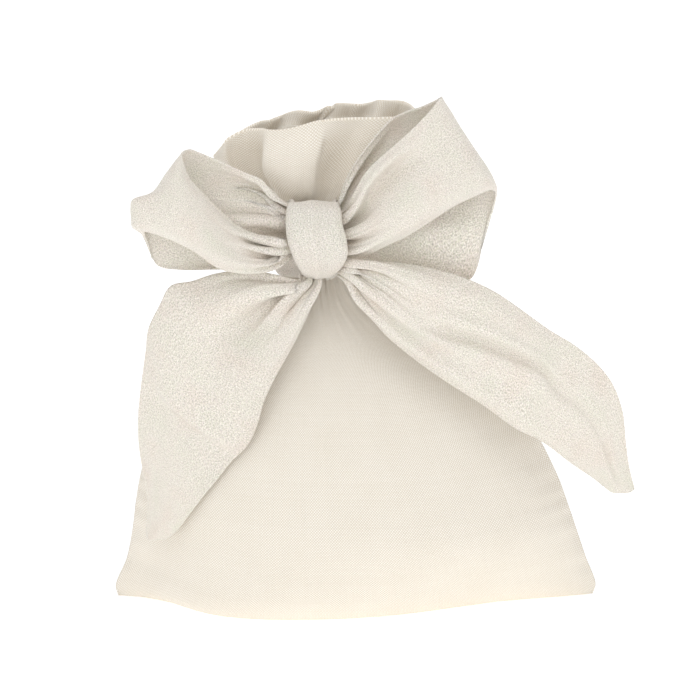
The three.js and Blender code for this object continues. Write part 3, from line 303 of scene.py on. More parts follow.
def sheet_mesh(name, outer, inner, uv, mat, closed_v=False, rim=()):
    """closed thin cloth between two grids (mm). rim: extra rows that round the last row from outer to inner."""
    R, C = outer.shape[:2]
    rows = [outer[i] for i in range(R)] + [r for r in rim] + [inner[i] for i in range(R - 1, -1, -1)]
    urow = [uv[i] for i in range(R)] + [uv[-1] for _ in rim] + [uv[i] for i in range(R - 1, -1, -1)]
    N = len(rows)
    V = np.concatenate(rows) * MM
    UV = np.concatenate(urow)
    F = []
    Cm = C if closed_v else C - 1
    for i in range(N):
        a, b = i * C, ((i + 1) % N) * C
        for j in range(Cm):
            k = (j + 1) % C
            F.append((a + j, a + k, b + k, b + j))
    if not closed_v:
        half = N // 2
        for j in (0, C - 1):
            for i in range(half):
                p, q = i, N - 1 - i
                p2, q2 = i + 1, N - 2 - i
                if p2 > q2:
                    break
                a, b, c, d = p * C + j, p2 * C + j, q2 * C + j, q * C + j
                f = (a, b, c, d) if p2 != q2 else (a, b, d)
                F.append(f if j == 0 else f[::-1])
    ob = object_from(name, V, F, UV, mat)
    me = ob.data
    bm_fix(me)
    return ob


def bm_fix(me):
    import bmesh
    bm = bmesh.new()
    bm.from_mesh(me)
    bmesh.ops.recalc_face_normals(bm, faces=bm.faces)
    if bm.calc_volume(signed=True) < 0:
        bmesh.ops.reverse_faces(bm, faces=bm.faces)
    bm.to_mesh(me)
    bm.free()
    me.update()


def arc_uv(G, pitch):
    """real-size cloth coordinates of a grid, in units of pitch (mm)"""
    du = np.linalg.norm(np.diff(G, axis=0), axis=2).mean(axis=1)
    dv = np.linalg.norm(np.diff(G, axis=1), axis=2).mean(axis=0)
    u = np.concatenate([[0], np.cumsum(du)]) / pitch
    v = np.concatenate([[0], np.cumsum(dv)]) / pitch
    return np.stack(np.meshgrid(u, v, indexing="ij"), axis=2)


def area_of(G, closed_v=False):
    A = np.concatenate([G, G[:, :1]], axis=1) if closed_v else G
    d1 = A[1:, 1:] - A[:-1, :-1]
    d2 = A[1:, :-1] - A[:-1, 1:]
    return float(np.linalg.norm(np.cross(d1, d2), axis=2).sum() / 2) * 1e-6


def stitches(name, path, length, gap, r, mat, lift):
    """a row of separate stitches: short rounded threads lying along a path (mm), lifted off it along given vectors"""
    path, lift = np.asarray(path, float), np.asarray(lift, float)
    s = np.concatenate([[0], np.cumsum(np.linalg.norm(np.diff(path, axis=0), axis=1))])
    V, F = [], []
    at = gap
    while at + length < s[-1]:
        ring = []
        for q, rr, up in [(0.0, 0.15, -0.3), (0.12, 0.8, 0.15), (0.5, 1.0, 0.45), (0.88, 0.8, 0.15), (1.0, 0.15, -0.3)]:
            t = at + q * length
            p = np.array([np.interp(t, s, path[:, k]) for k in range(3)])
            n = np.array([np.interp(t, s, lift[:, k]) for k in range(3)])
            n /= np.linalg.norm(n)
            a = np.array([np.interp(t + 0.05, s, path[:, k]) for k in range(3)]) - np.array([np.interp(t - 0.05, s, path[:, k]) for k in range(3)])
            a /= np.linalg.norm(a) + 1e-9
            b = np.cross(a, n)
            ring.append([p + n * r * up + r * rr * (math.cos(w) * n + math.sin(w) * b) for w in np.linspace(0, 2 * math.pi, 6, endpoint=False)])
        base = len(V)
        for rg in ring:
            V += rg
        for i in range(len(ring) - 1):
            for k in range(6):
                F.append((base + i * 6 + k, base + i * 6 + (k + 1) % 6, base + (i + 1) * 6 + (k + 1) % 6, base + (i + 1) * 6 + k))
        F.append(tuple(base + k for k in range(5, -1, -1)))
        F.append(tuple(base + (len(ring) - 1) * 6 + k for k in range(6)))
        at += length + gap
    ob = object_from(name, np.array(V) * MM, F, np.zeros((len(V), 2)), mat)
    bm_fix(ob.data)
    return ob


# ------------------------------------------------------------------ materials
def nodes_of(name):
    m = bpy.data.materials.new(name)
    m.use_nodes = True
    nt = m.node_tree
    bsdf = next(n for n in nt.nodes if n.type == "BSDF_PRINCIPLED")
    return m, nt, bsdf


def math_node(nt, op, a, b=None):
    n = nt.nodes.new("ShaderNodeMath")
    n.operation = op
    for k, v in ((0, a), (1, b)):
        if v is None:
            continue
        if isinstance(v, (int, float)):
            n.inputs[k].default_value = v
        else:
            nt.links.new(v, n.inputs[k])
    return n.outputs[0]


def ramp(nt, fac, stops):
    n = nt.nodes.new("ShaderNodeValToRGB")
    e = n.color_ramp.elements
    e[0].position, e[0].color = stops[0][0], stops[0][1] + (1,)
    e[1].position, e[1].color = stops[-1][0], stops[-1][1] + (1,)
    for p, c in stops[1:-1]:
        k = e.new(p)
        k.color = c + (1,)
    nt.links.new(fac, n.inputs["Fac"])
    return n.outputs["Color"]


def mix_color(nt, fac, a, b, mode="MIX"):
    n = nt.nodes.new("ShaderNodeMix")
    n.data_type = "RGBA"
    n.blend_type = mode
    for sock, v in ((n.inputs[0], fac), (n.inputs[6], a), (n.inputs[7], b)):
        if isinstance(v, (int, float)):
            sock.default_value = v
        elif isinstance(v, tuple):
            sock.default_value = v + (1,)
        else:
            nt.links.new(v, sock)
    return n.outputs[2]


def noise(nt, vec, scale, detail=2.0, rough=0.5):
    n = nt.nodes.new("ShaderNodeTexNoise")
    n.inputs["Scale"].default_value = scale
    n.inputs["Detail"].default_value = detail
    n.inputs["Roughness"].default_value = rough
    nt.links.new(vec, n.inputs["Vector"])
    return n


def uv_vector(nt, scale=(1, 1, 1)):
    uv = nt.nodes.new("ShaderNodeUVMap")
    uv.uv_map = "thread"
    mp = nt.nodes.new("ShaderNodeMapping")
    mp.inputs["Scale"].default_value = scale
    nt.links.new(uv.outputs[0], mp.inputs["Vector"])
    return mp.outputs[0]


def cloth_material():
    """basket weave: one unit of the thread map is one thread crossing"""
    m, nt, bsdf = nodes_of("pouch_cloth")
    vec = uv_vector(nt)
    # threads are never dead straight
    wob = noise(nt, vec, 0.35, 2.0)
    wobble = nt.nodes.new("ShaderNodeVectorMath"); wobble.operation = "MULTIPLY_ADD"
    nt.links.new(wob.outputs["Color"], wobble.inputs[0])
    wobble.inputs[1].default_value = (0.35, 0.35, 0)
    nt.links.new(vec, wobble.inputs[2])
    sep = nt.nodes.new("ShaderNodeSeparateXYZ")
    nt.links.new(wobble.outputs[0], sep.inputs[0])
    u, v = sep.outputs[0], sep.outputs[1]
    fu, fv = math_node(nt, "FRACT", u), math_node(nt, "FRACT", v)
    iu, iv = math_node(nt, "FLOOR", u), math_node(nt, "FLOOR", v)
    A = math_node(nt, "SINE", math_node(nt, "MULTIPLY", fu, math.pi))
    B = math_node(nt, "SINE", math_node(nt, "MULTIPLY", fv, math.pi))
    ra, rb = math_node(nt, "POWER", A, 0.38), math_node(nt, "POWER", B, 0.38)
    warp = math_node(nt, "MULTIPLY", ra, math_node(nt, "ADD", math_node(nt, "MULTIPLY", rb, 0.55), 0.45))
    weft = math_node(nt, "MULTIPLY", rb, math_node(nt, "ADD", math_node(nt, "MULTIPLY", ra, 0.55), 0.45))
    chk = math_node(nt, "FLOORED_MODULO", math_node(nt, "ADD", iu, iv), 2.0)
    inv = math_node(nt, "SUBTRACT", 1.0, chk)
    h = math_node(nt, "ADD", math_node(nt, "MULTIPLY", warp, inv), math_node(nt, "MULTIPLY", math_node(nt, "MULTIPLY", weft, chk), 0.78))
    # each yarn has its own tint
    def yarn(i, seed):
        w = nt.nodes.new("ShaderNodeTexWhiteNoise"); w.noise_dimensions = "1D"
        nt.links.new(math_node(nt, "ADD", i, seed), w.inputs["W"])
        return w.outputs["Value"]
    shade = math_node(nt, "ADD", math_node(nt, "MULTIPLY", yarn(iu, 3.5), inv), math_node(nt, "MULTIPLY", yarn(iv, 71.5), chk))
    fibre = noise(nt, uv_vector(nt, (1.7, 1.7, 1.7)), 1.0, 3.0, 0.7)
    # colour runs from dark gaps to light thread crowns: painted shade in the gaps between threads
    base = ramp(nt, h, [(0.0, (0.70, 0.58, 0.42)), (0.40, (0.965, 0.915, 0.835)), (1.0, (1.0, 0.978, 0.93))])
    # weft-over crossings are coloured darker than warp-over ones: painted shade on the weft-over cells
    over = mix_color(nt, chk, (1.0, 1.0, 1.0), (0.80, 0.765, 0.715))
    base = mix_color(nt, 1.0, base, over, "MULTIPLY")
    tint = ramp(nt, shade, [(0.0, (0.975, 0.972, 0.965)), (1.0, (1.0, 1.0, 1.0))])
    col = mix_color(nt, 1.0, base, tint, "MULTIPLY")
    slub = ramp(nt, fibre.outputs["Fac"], [(0.3, (0.93, 0.92, 0.90)), (0.6, (1.0, 1.0, 1.0))])
    col = mix_color(nt, 1.0, col, slub, "MULTIPLY")
    patchy = noise(nt, uv_vector(nt, (0.03, 0.03, 0.03)), 1.0, 3.0)
    soft = ramp(nt, patchy.outputs["Fac"], [(0.3, (0.98, 0.975, 0.965)), (0.7, (1.0, 1.0, 1.0))])
    col = mix_color(nt, 1.0, col, soft, "MULTIPLY")
    nt.links.new(col, bsdf.inputs["Base Color"])
    bsdf.inputs["Roughness"].default_value = 0.82
    bsdf.inputs["Specular IOR Level"].default_value = 0.3
    bsdf.inputs["Sheen Weight"].default_value = 0.15
    bsdf.inputs["Sheen Roughness"].default_value = 0.5
    height = math_node(nt, "ADD", h, math_node(nt, "MULTIPLY", fibre.outputs["Fac"], 0.5))
    bump = nt.nodes.new("ShaderNodeBump")
    bump.inputs["Strength"].default_value = 0.75
    bump.inputs["Distance"].default_value = 0.00014
    nt.links.new(height, bump.inputs["Height"])
    nt.links.new(bump.outputs[0], bsdf.inputs["Normal"])
    return m


def ribbon_material():
    """crepe ribbon: one unit of the thread map is one millimetre"""
    m, nt, bsdf = nodes_of("ribbon_crepe")
    grain = noise(nt, uv_vector(nt, (3.6, 3.6, 3.6)), 1.0, 2.0, 0.6)
    fine = nt.nodes.new("ShaderNodeTexVoronoi")
    fine.inputs["Scale"].default_value = 1.0
    nt.links.new(uv_vector(nt, (4.2, 4.2, 4.2)), fine.inputs["Vector"])
    base = ramp(nt, grain.outputs["Fac"], [(0.32, (0.515, 0.465, 0.40)), (0.5, (0.74, 0.695, 0.63)), (0.68, (0.915, 0.885, 0.835))])
    # pinkish and greenish flecks from the grain noise stand in for the ribbon's iridescent shimmer: painted sheen
    pearly_painted_sheen = mix_color(nt, 0.35, (0.5, 0.5, 0.5), grain.outputs["Color"])
    col = mix_color(nt, 0.5, base, pearly_painted_sheen, "OVERLAY")
    cell = nt.nodes.new("ShaderNodeSeparateColor")
    nt.links.new(fine.outputs["Color"], cell.inputs[0])
    # random Voronoi cells lifted above the base colour stand in for glints off the crepe: painted sparkle
    painted_glints = ramp(nt, cell.outputs[0], [(0.0, (0.90, 0.895, 0.89)), (0.55, (0.975, 0.975, 0.97)), (1.0, (1.06, 1.06, 1.06))])
    col = mix_color(nt, 1.0, col, painted_glints, "MULTIPLY")
    big = noise(nt, uv_vector(nt, (0.09, 0.09, 0.09)), 1.0, 2.0)
    wash = ramp(nt, big.outputs["Fac"], [(0.3, (0.985, 0.955, 0.95)), (0.5, (1.0, 1.0, 1.0)), (0.7, (0.965, 0.99, 0.965))])
    col = mix_color(nt, 1.0, col, wash, "MULTIPLY")
    nt.links.new(col, bsdf.inputs["Base Color"])
    rough = ramp(nt, cell.outputs[1], [(0.0, (0.34, 0.34, 0.34)), (1.0, (0.62, 0.62, 0.62))])
    nt.links.new(rough, bsdf.inputs["Roughness"])
    bsdf.inputs["Subsurface Weight"].default_value = 0.5
    bsdf.inputs["Subsurface Radius"].default_value = (1.0, 1.0, 1.0)
    bsdf.inputs["Subsurface Scale"].default_value = 0.0006
    bsdf.inputs["Specular IOR Level"].default_value = 0.5
    bsdf.inputs["Sheen Weight"].default_value = 0.25
    bsdf.inputs["Sheen Roughness"].default_value = 0.4
    bsdf.inputs["Sheen Tint"].default_value = (1.0, 0.97, 0.95, 1)
    height = math_node(nt, "ADD", grain.outputs["Fac"], math_node(nt, "MULTIPLY", cell.outputs[2], 0.5))
    bump = nt.nodes.new("ShaderNodeBump")
    bump.inputs["Strength"].default_value = 0.5
    bump.inputs["Distance"].default_value = 0.00008
    nt.links.new(height, bump.inputs["Height"])
    nt.links.new(bump.outputs[0], bsdf.inputs["Normal"])
    return m


def thread_material():
    m, nt, bsdf = nodes_of("sewing_thread")
    tex = nt.nodes.new("ShaderNodeTexCoord")
    n = noise(nt, tex.outputs["Object"], 9000.0, 2.0)
    col = ramp(nt, n.outputs["Fac"], [(0.3, (0.62, 0.56, 0.45)), (0.7, (0.80, 0.75, 0.65))])
    nt.links.new(col, bsdf.inputs["Base Color"])
    bsdf.inputs["Roughness"].default_value = 0.6
    bump = nt.nodes.new("ShaderNodeBump")
    bump.inputs["Strength"].default_value = 0.5
    bump.inputs["Distance"].default_value = 0.00005
    nt.links.new(n.outputs["Fac"], bump.inputs["Height"])
    nt.links.new(bump.outputs[0], bsdf.inputs["Normal"])
    return m


CLOTH, RIBBON, THREAD = cloth_material(), ribbon_material(), thread_material()
PITCH = 0.36          # mm between thread crossings

# ------------------------------------------------------------------ pouch body
def tuck(s, z):
    """the belly hangs over: the foot stands further back, more so on the right"""
    return (5.2 + 3.1 * s) * (1 - smooth(z / 26))


def chord(s, z):
    return (-1.25 - 2.25 * s) * (1 - smooth(z / 76)) + tuck(s, z)


def body_grid(side, s, path):
    """path: rows of (z, inset, floor share); returns the outer surface in mm"""
    S, K = np.meshgrid(s, np.arange(len(path)), indexing="xy")
    P = np.asarray(path, float)
    Z, INS, FLO = P[K, 0], P[K, 1], P[K, 2]
    l, r = hermite(BODY, Z, 1), hermite(BODY, Z, 2)
    depth = hermite(BODY, Z, 3 if side < 0 else 4)
    p = 0.8 - 0.3 * smooth((Z - 58) / 22)
    lens = np.maximum(0, 1 - np.abs(S) ** 2.1) ** p
    w = smooth(Z / 24)
    sec = hermite(BASE_FRONT if side < 0 else BASE_BACK, S, 1) * (1 - w) + lens * w
    D = depth * sec
    D = np.maximum(0, D - INS * np.minimum(1, D / 14))
    X = (l + r) / 2 + S * (r - l) / 2
    Y0 = chord(S, Z)
    Y = Y0 + side * D
    split = (3 + tuck(S, Z)) * smooth((1 - np.abs(S)) / 0.4) + Y0 * (1 - smooth((1 - np.abs(S)) / 0.4))
    Y = Y * (1 - FLO) + split * FLO
    return np.stack([X, Y, Z], axis=2)


def body_path(r, h):
    """r: how far the rounded foot draws in; h: how high it starts"""
    zs = list(np.linspace(95, h, int(120 * DENS)))
    path = [(z, 0.0, 0.0) for z in zs]
    for a in np.linspace(0, math.pi / 2, 12)[1:]:
        z = h - h * math.sin(a)
        ins = r * (1 - math.cos(a))
        path.append((z, ins, 0.0))
    path += [(0.0, r, f) for f in np.linspace(0, 1, 22)[1:]]
    return path


def body_piece(name, side, node):
    s = np.sin(np.linspace(-math.pi / 2, math.pi / 2, int(210 * DENS)))
    s = 0.55 * s + 0.45 * np.linspace(-1, 1, len(s))
    path = body_path(8.5, 9.0) if side < 0 else body_path(5.2, 7.0)
    G = body_grid(side, s, path)
    N = normals(G)
    if (N[40, len(s) // 2, 1] * side) < 0:
        N = -N
    Z, X = G[..., 2], G[..., 0]
    S = np.broadcast_to(s, Z.shape)
    edge = np.minimum(1, (1 - np.abs(S)) / 0.10)
    fade = smooth((1 - np.abs(S)) / 0.05)
    # gathers that fan down from the tie
    ph = S * 17.0 + 0.9 * np.sin(S * 6.1 + side) + 0.35 * wave(S * 5, Z * 0.02, 11 + side)
    near = smooth((Z - 62) / 26)
    gather = near ** 1.5 * (1 - 0.65 * smooth((Z - 82) / 5)) * (0.30 * np.sin(ph * 2.0) + 0.13 * np.sin(ph * 3.7 + 1.0))
    # soft hollows and swells of cloth with little in it
    swell = 0.85 * wave(X / 21, Z / 24, 5 if side < 0 else 8, 2) * smooth((Z - 2) / 14) * (1 - smooth((Z - 70) / 14))
    # puckers along the side seams
    dist = (1 - np.abs(S)) * (hermite(BODY, Z, 2) - hermite(BODY, Z, 1)) / 2
    pucker = 0.38 * np.sin(Z * 1.05 + 1.8 * np.sin(Z * 0.23) + np.sign(S)) * np.exp(-dist / 4.5) * smooth(dist / 0.8) * smooth((Z - 3) / 5) * (1 - smooth((Z - 74) / 8))
    G = G + N * ((gather + swell) * fade + pucker)[..., None]
    G[..., 2] = np.maximum(G[..., 2], 0.0)
    floor_rows = np.array([q[0] == 0.0 for q in path])
    G[floor_rows, :, 2] = 0.0
    t = 0.5
    Nn = N.copy()
    Nn[floor_rows] = (0, 0, -1)
    inner = G - Nn * t
    # keep each panel on its own side of the seam, with a hair of room
    lim = chord(S, Z) + side * 0.06
    for A in (G, inner):
        keep = (Z > 1.2)
        y = A[..., 1]
        y[keep] = (np.maximum(side * (y - lim), 0) * side + lim)[keep]
    uv = arc_uv(G, PITCH)
    w = np.linspace(-1, 1, G.shape[1])
    # threads run straight across the flat cloth: share of the width, not of the modelled arc
    uv[..., 1] = (S * 60.0) / PITCH
    ob = sheet_mesh(name, G, inner, uv, CLOTH)
    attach(ob, "root")
    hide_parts(node)
    return ob, G


front_panel, FRONT_G = body_piece("pouch_front_cloth", -1, "pouch_front_panel")
back_panel, BACK_G = body_piece("pouch_back_cloth", 1, "pouch_back_panel")


def seam_piece(label, sgn):
    zs = np.linspace(2.2, 80, 60)
    x = hermite(BODY, zs, 1 if sgn < 0 else 2)
    y = chord(np.full_like(zs, sgn), zs)
    width = 4.2 * (1 - smooth((zs - 66) / 14)) + 1.0
    rows = np.stack([np.stack([x - sgn * (0.7 + q * width), y + 0.25 * math.sin(5 * q) * np.sin(zs * 0.4), zs], axis=1) for q in np.linspace(0, 1, 6)], axis=1)
    off = np.array([0, 0.32, 0])
    uv = arc_uv(rows, PITCH)
    ob = sheet_mesh(label + "_seam_allowance", rows - off, rows + off, uv, CLOTH)
    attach(ob, "root")
    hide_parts(label + "_side_seam")
    path = rows[:, 2] + np.array([0, -0.45, 0])
    st = stitches(label + "_seam_stitches", path, 2.0, 0.7, 0.13, THREAD, np.tile([0, -1.0, 0], (len(path), 1)))
    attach(st, "root")
    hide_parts(label + "_seam_thread")
    return ob


seam_piece("left", -1)
seam_piece("right", 1)

# ------------------------------------------------------------------ frill above the tie
def frill_rows():
    net = np.array(FRILL)                       # columns round the mouth, rows R1..R5
    net = np.swapaxes(net, 0, 1)                # rows, columns
    low = net[0].copy()
    low[:, :2] = NECK + (low[:, :2] - NECK) * 0.80
    low[:, 2] = 95.0
    low2 = low.copy()
    low2[:, :2] = NECK + (low[:, :2] - NECK) * 0.92
    low2[:, 2] = 91.5
    return np.concatenate([[low2], [low], net])


def frill():
    nu, nv = int(90 * DENS), int(720 * DENS)
    G = patch(frill_rows(), nu, nv, closed_v=True)
    G = even(G, 0)
    G = relax(G, 2, 0.5, True)
    c = np.array([NECK[0], NECK[1], 0])
    N = normals(G, True)
    if (N * (G - c - np.array([0, 0, 1]) * G[..., 2:3])).sum(axis=2).mean() < 0:
        N = -N
    v = np.linspace(0, 1, nu)[:, None]
    u = np.linspace(0, 1, nv, endpoint=False)[None, :]
    # gathers round the back and the right end, where the spare width of the mouth is taken up
    col = u * 29
    back = smooth((col - 14.2) / 1.4) * (1 - smooth((col - 28.0) / 1.0))
    ph = 2 * math.pi * (0.49 * col + 0.16 * np.sin(col * 1.7) + 0.05 * np.sin(v * 3 + col * 0.5))
    deep = 4.3 * smooth((v - 0.12) / 0.20) * (1 - 0.90 * smooth((v - 0.55) / 0.34))
    flat_n = N.copy(); flat_n[..., 2] *= 0.25
    flat_n /= np.linalg.norm(flat_n, axis=2, keepdims=True)
    G = G + flat_n * (deep * back * (np.sin(ph) + 0.2 * np.sin(2 * ph + 1) - 0.12))[..., None]
    # fine gathers where it leaves the tie
    near = (1 - smooth((v - 0.10) / 0.42)) * smooth((v + 0.02) / 0.06)
    ph2 = 2 * math.pi * (24 * u + 0.5 * np.sin(2 * math.pi * u * 3) + 0.3 * np.sin(2 * math.pi * u * 7 + 1))
    amp = 0.24 + 0.50 * (1 - smooth((v - 0.05) / 0.2)) + 0.5 * back
    N = normals(G, True)
    if (N * (G - c - np.array([0, 0, 1]) * G[..., 2:3])).sum(axis=2).mean() < 0:
        N = -N
    G = G + N * (near * amp * np.sin(ph2))[..., None]
    seamfree = np.minimum(1, np.minimum(u, 1 - u) / 0.02)
    G = G + N * (0.20 * wave(u * 60, v * 5, 21, 2) * smooth(v / 0.3) * seamfree)[..., None]
    N = normals(G, True)
    if (N * (G - c - np.array([0, 0, 1]) * G[..., 2:3])).sum(axis=2).mean() < 0:
        N = -N
    for _ in range(3):                           # even the offsets where the pleats are tight
        N = (np.roll(N, 1, axis=1) + N * 2 + np.roll(N, -1, axis=1)) / 4
    N /= np.linalg.norm(N, axis=2, keepdims=True)
    return G, N


FRILL_G, FRILL_N = frill()
HEM_FROM = 0.56                     # share of the height where the turned-in hem ends
nrow = FRILL_G.shape[0]
vv = np.linspace(0, 1, nrow)[:, None, None]
tF = 0.36
inner = FRILL_G - FRILL_N * tF
top, topn = FRILL_G[-1], FRILL_N[-1]
up = FRILL_G[-1] - FRILL_G[-4]
up /= np.linalg.norm(up, axis=1, keepdims=True)
rollr = 0.52
rim = []
for a in np.linspace(0, math.pi, 9)[1:-1]:
    rim.append(top - topn * rollr * (1 - math.cos(a)) + up * rollr * math.sin(a) * 1.1)
inner[-1] = top - topn * 2 * rollr
for k in range(2, 9):
    w = smooth((9 - k) / 8.0)
    inner[-k] = inner[-k] * (1 - w) + (FRILL_G[-k] - FRILL_N[-k] * 2 * rollr) * w
uvF = arc_uv(FRILL_G, PITCH)
frill_cloth = sheet_mesh("frill_cloth", FRILL_G, inner, uvF, CLOTH, closed_v=True, rim=rim)
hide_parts("frill_front", "frill_back")

h0, h1 = int(nrow * HEM_FROM), nrow - 8
HG = FRILL_G[h0:h1] - FRILL_N[h0:h1] * (tF + 0.08)
wob = 0.12 + 0.10 * wave(np.linspace(0, 40, HG.shape[1])[None, :], np.linspace(0, 2, HG.shape[0])[:, None], 31, 1)
HI = HG - FRILL_N[h0:h1] * 0.36
hem = sheet_mesh("mouth_hem", HG, HI, arc_uv(HG, PITCH), CLOTH, closed_v=True)
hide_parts("front_mouth_hem", "back_mouth_hem")
row = HI[3]
hem_st = stitches("mouth_hem_stitches", np.concatenate([row, row[:1]]), 2.1, 0.7, 0.14, THREAD, -np.concatenate([FRILL_N[h0 + 3], FRILL_N[h0 + 3][:1]]))
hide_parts("front_hem_thread", "back_hem_thread")


# ------------------------------------------------------------------ ribbon
def ribbon_piece(name, net, nu, nv, t, node, flat, relax_n=2, reach=(22, 22), waves=3.5, most=0.5):
    """flat cut gathered in the knot at its first row, and at its last row too when reach[1] isn't None"""
    G = patch(net, int(nu * DENS), int(nv * DENS))
    G = even(even(G, 0), 1)
    G = relax(G, relax_n, 0.5)
    u = np.linspace(0, 1, G.shape[0])[:, None]
    v = np.linspace(0, 1, G.shape[1])[None, :]
    N = normals(G)
    seed = sum(map(ord, name))
    # gathers: where the strip is narrower than its cut, the spare width goes into folds that run out from the knot
    wide = np.linalg.norm(np.diff(G, axis=1), axis=2).sum(axis=1)[:, None]
    along = np.concatenate([[0], np.cumsum(np.linalg.norm(np.diff(G, axis=0), axis=2).mean(axis=1))])[:, None]
    mask = np.exp(-(along / reach[0]) ** 2)
    if reach[1] is not None:
        mask = np.maximum(mask, np.exp(-((along[-1] - along) / reach[1]) ** 2))
    spare = np.clip(flat[0] * 1000 / wide - 1, 0, 1.6)
    lam = wide / waves
    A = np.minimum(lam / math.pi * np.sqrt(spare), most * lam) * mask
    ph = 2 * math.pi * waves * (v + 0.045 * np.sin(2 * math.pi * v * 1.4 + seed) + 0.012 * np.sin(u * 9 + seed))
    fold = np.sin(ph + seed) + 0.28 * np.sin(2.3 * ph + 0.7 * seed) + 0.12 * np.sin(4.1 * ph + 1.1 * seed)
    hold = smooth(v / 0.06) * smooth((1 - v) / 0.06) * 0.7 + 0.3
    G = G + N * (A * fold * hold)[..., None]
    N = normals(G)
    L = np.linalg.norm(np.diff(G, axis=0), axis=2).mean(axis=1).sum()
    W = np.linalg.norm(np.diff(G, axis=1), axis=2).mean(axis=0).sum()
    G = G + N * (0.16 * wave(u * L / 5, v * W / 4, seed, 2) * smooth(u / 0.06) * smooth((1 - u) / 0.03))[..., None]
    # slightly uneven cut edges
    N = normals(G)
    tt = t * (1 + 0.9 * (np.exp(-((v - 0.012) / 0.012) ** 2) + np.exp(-((v - 0.988) / 0.012) ** 2)))[..., None]
    A, B = G + N * tt / 2, G - N * tt / 2
    uv = arc_uv(G, 1.0)
    ob = sheet_mesh(name, A, B, uv, RIBBON)
    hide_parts(node)
    return ob, G


right_loop, _ = ribbon_piece("right_bow_loop", RIGHT_LOOP, 230, 96, 0.26, "right_loop", (0.038, 0.092), reach=(10, 22))
left_loop, _ = ribbon_piece("left_bow_loop", LEFT_LOOP, 230, 96, 0.26, "left_loop", (0.038, 0.085), reach=(12, 16))
right_tail, _ = ribbon_piece("right_bow_tail", RIGHT_TAIL, 190, 90, 0.26, "right_tail", (0.038, 0.105), reach=(15, None))
left_tail, _ = ribbon_piece("left_bow_tail", LEFT_TAIL, 190, 90, 0.26, "left_tail", (0.038, 0.097), reach=(16, None))

KG = patch(KNOT, int(110 * DENS), int(110 * DENS))
KG = relax(even(KG, 0), 1)
u = np.linspace(0, 1, KG.shape[0])[:, None]
v = np.linspace(0, 1, KG.shape[1])[None, :]
KN = normals(KG)
if KN[KG.shape[0] // 2, KG.shape[1] // 2, 1] > 0:
    KN = -KN
crease = 0.16 * np.sin(2 * math.pi * (2.2 * v + 0.25 * np.sin(3 * u))) + 0.10 * wave(u * 5, v * 7, 3, 2)
KG = KG + KN * (crease * np.sin(math.pi * v))[..., None]
KN2 = normals(KG)
if KN2[KG.shape[0] // 2, KG.shape[1] // 2, 1] > 0:
    KN2 = -KN2
# the ribbon is folded lengthwise before it is wound over: the fold is on the left, both selvedges on the right
gap = 0.55
under = (KG - KN2 * gap)[:, ::-1]
mid, side_v = KG[:, 0] - KN2[:, 0] * gap / 2, KG[:, 0] - KG[:, 2]
side_v = side_v / np.linalg.norm(side_v, axis=1, keepdims=True)
arc = [mid + KN2[:, 0] * gap / 2 * math.sin(w) + side_v * gap / 2 * math.cos(w) for w in (-1.0, -0.5, 0.0, 0.5, 1.0)]
KF = np.concatenate([under, np.stack(arc, axis=1), KG], axis=1)
KFN = normals(KF)
for _ in range(2):
    KFN[:, 1:-1] = (KFN[:, :-2] + 2 * KFN[:, 1:-1] + KFN[:, 2:]) / 4
KFN /= np.linalg.norm(KFN, axis=2, keepdims=True)
knot = sheet_mesh("bow_knot", KF + KFN * 0.13, KF - KFN * 0.13, arc_uv(KF, 1.0), RIBBON)
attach(knot, "root")
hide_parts("ribbon_knot")


def neck_band():
    """the ribbon's full width wound round the neck, pleated down into three layers"""
    nv = int(260 * DENS)
    a = np.linspace(0, 2 * math.pi, nv, endpoint=False)[None, :]
    prof = []                                     # (share of height, radius step)
    n = int(24 * DENS)
    for k, r in ((0, 0.0), (1, 0.62), (2, 1.24)):
        q = np.linspace(0.04, 0.96, n)
        q = q if k % 2 == 0 else q[::-1]
        prof += [(x, r) for x in q]
        if k < 2:
            top = k % 2 == 0
            for w in (0.25, 0.5, 0.75):
                prof.append(((0.96 + 0.04 * math.sin(math.pi * w)) if top else (0.04 - 0.04 * math.sin(math.pi * w)), r + 0.62 * (1 - math.cos(math.pi * w)) / 2))
    prof = np.array(prof)
    h, dr = prof[:, 0][:, None], prof[:, 1][:, None]
    lift = 0.5 * np.sin(a + 0.6)
    half = 5.7 + 0.5 * np.sin(2 * a + 1.0)
    z = 90.6 + lift + (h - 0.5) * 2 * half
    share = dr / 1.24
    folds = 0.50 * np.sin(math.pi * (h * 3.2 + 0.35 * np.sin(a * 2 + 0.5) + 0.15 * np.sin(5 * a))) ** 2 + 0.06 * wave(a * 6 + 0 * h, h * 9, 17, 2)
    r = 9.25 + dr + share * folds + 0.25 * share * (1 - (2 * h - 1) ** 2)
    # in front the two ends come forward together into the back of the knot
    d = np.abs(np.arctan2(np.sin(a + math.pi / 2), np.cos(a + math.pi / 2)))
    w = np.exp(-(d / 0.50) ** 2) * (0.55 + 0.45 * share)
    z = z - (z - 90.6) * 0.12 * w
    return np.stack([NECK[0] + r * np.cos(a) + 0.8 * w, NECK[1] + r * np.sin(a) - 5.4 * w, z], axis=2)


BG = neck_band()
BN = normals(BG, True)
band = sheet_mesh("neck_band", BG + BN * 0.12, BG - BN * 0.12, arc_uv(BG, 1.0), RIBBON, closed_v=True)
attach(band, "root")
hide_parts("ribbon_neck_band")

# soft parts that cross a joint
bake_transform(left_loop)
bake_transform(right_loop)
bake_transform(left_tail)
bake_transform(right_tail)
for ob in (frill_cloth, hem, hem_st):
    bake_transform(ob)

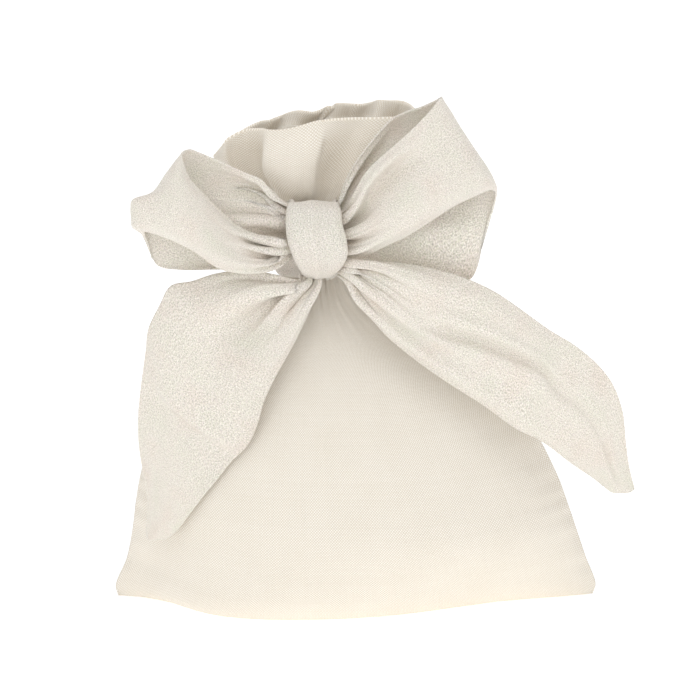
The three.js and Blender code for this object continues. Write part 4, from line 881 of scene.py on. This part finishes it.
# ------------------------------------------------------------------ floor, light, camera
floor_me = bpy.data.meshes.new("floor")
floor_me.from_pydata([(-6, -6, 0), (6, -6, 0), (6, 6, 0), (-6, 6, 0)], [], [(0, 1, 2, 3)])
floor = bpy.data.objects.new("floor", floor_me)
bpy.context.scene.collection.objects.link(floor)
fm, fnt, fb = nodes_of("floor_white")
fb.inputs["Base Color"].default_value = (0.95, 0.95, 0.945, 1)
fb.inputs["Roughness"].default_value = 0.9
fb.inputs["Emission Color"].default_value = (1, 1, 1, 1)
fb.inputs["Emission Strength"].default_value = 0.40
floor_me.materials.append(fm)
floor.location.z = -0.0002

world = bpy.data.worlds.new("studio")
world.use_nodes = True
bg = next(n for n in world.node_tree.nodes if n.type == "BACKGROUND")
bg.inputs[0].default_value = (1.0, 0.995, 0.985, 1)
bg.inputs[1].default_value = 0.74
bpy.context.scene.world = world
bpy.context.scene.view_settings.view_transform = "Standard"
bpy.context.scene.view_settings.look = "None"
bpy.context.scene.cycles.diffuse_bounces = 12      # pale cloth lights its own folds
bpy.context.scene.cycles.max_bounces = 14


def area_light(name, at, to, size, power, color=(1, 1, 1)):
    d = bpy.data.lights.new(name, "AREA")
    d.shape = "RECTANGLE"
    d.size, d.size_y = size
    d.energy = power
    d.color = color
    o = bpy.data.objects.new(name, d)
    o.location = at
    o.rotation_euler = (Vector(to) - Vector(at)).to_track_quat("-Z", "Y").to_euler()
    bpy.context.scene.collection.objects.link(o)


area_light("key", (-0.22, -1.0, 0.34), (0, 0, 0.06), (0.9, 0.9), 1.8)
area_light("fill", (0.9, -0.5, 0.35), (0, 0, 0.06), (0.9, 0.9), 0.37)
area_light("top", (0.05, -0.3, 1.0), (0, 0, 0.08), (0.8, 0.8), 2.05)

TARGET = Vector((-0.0015, 0.0, 0.0643))
DIST, ELEV = 0.700, math.radians(12.0)
cam_data = bpy.data.cameras.new("camera")
cam_data.sensor_width = 36.0
cam_data.lens = 36.0 * (DIST / 0.000248) / 700.0
cam_data.clip_start = 0.01
cam = bpy.data.objects.new("camera", cam_data)
cam.location = TARGET + Vector((0, -math.cos(ELEV), math.sin(ELEV))) * DIST
cam.rotation_euler = (math.pi / 2 - ELEV, 0, 0)
bpy.context.scene.collection.objects.link(cam)
bpy.context.scene.camera = cam
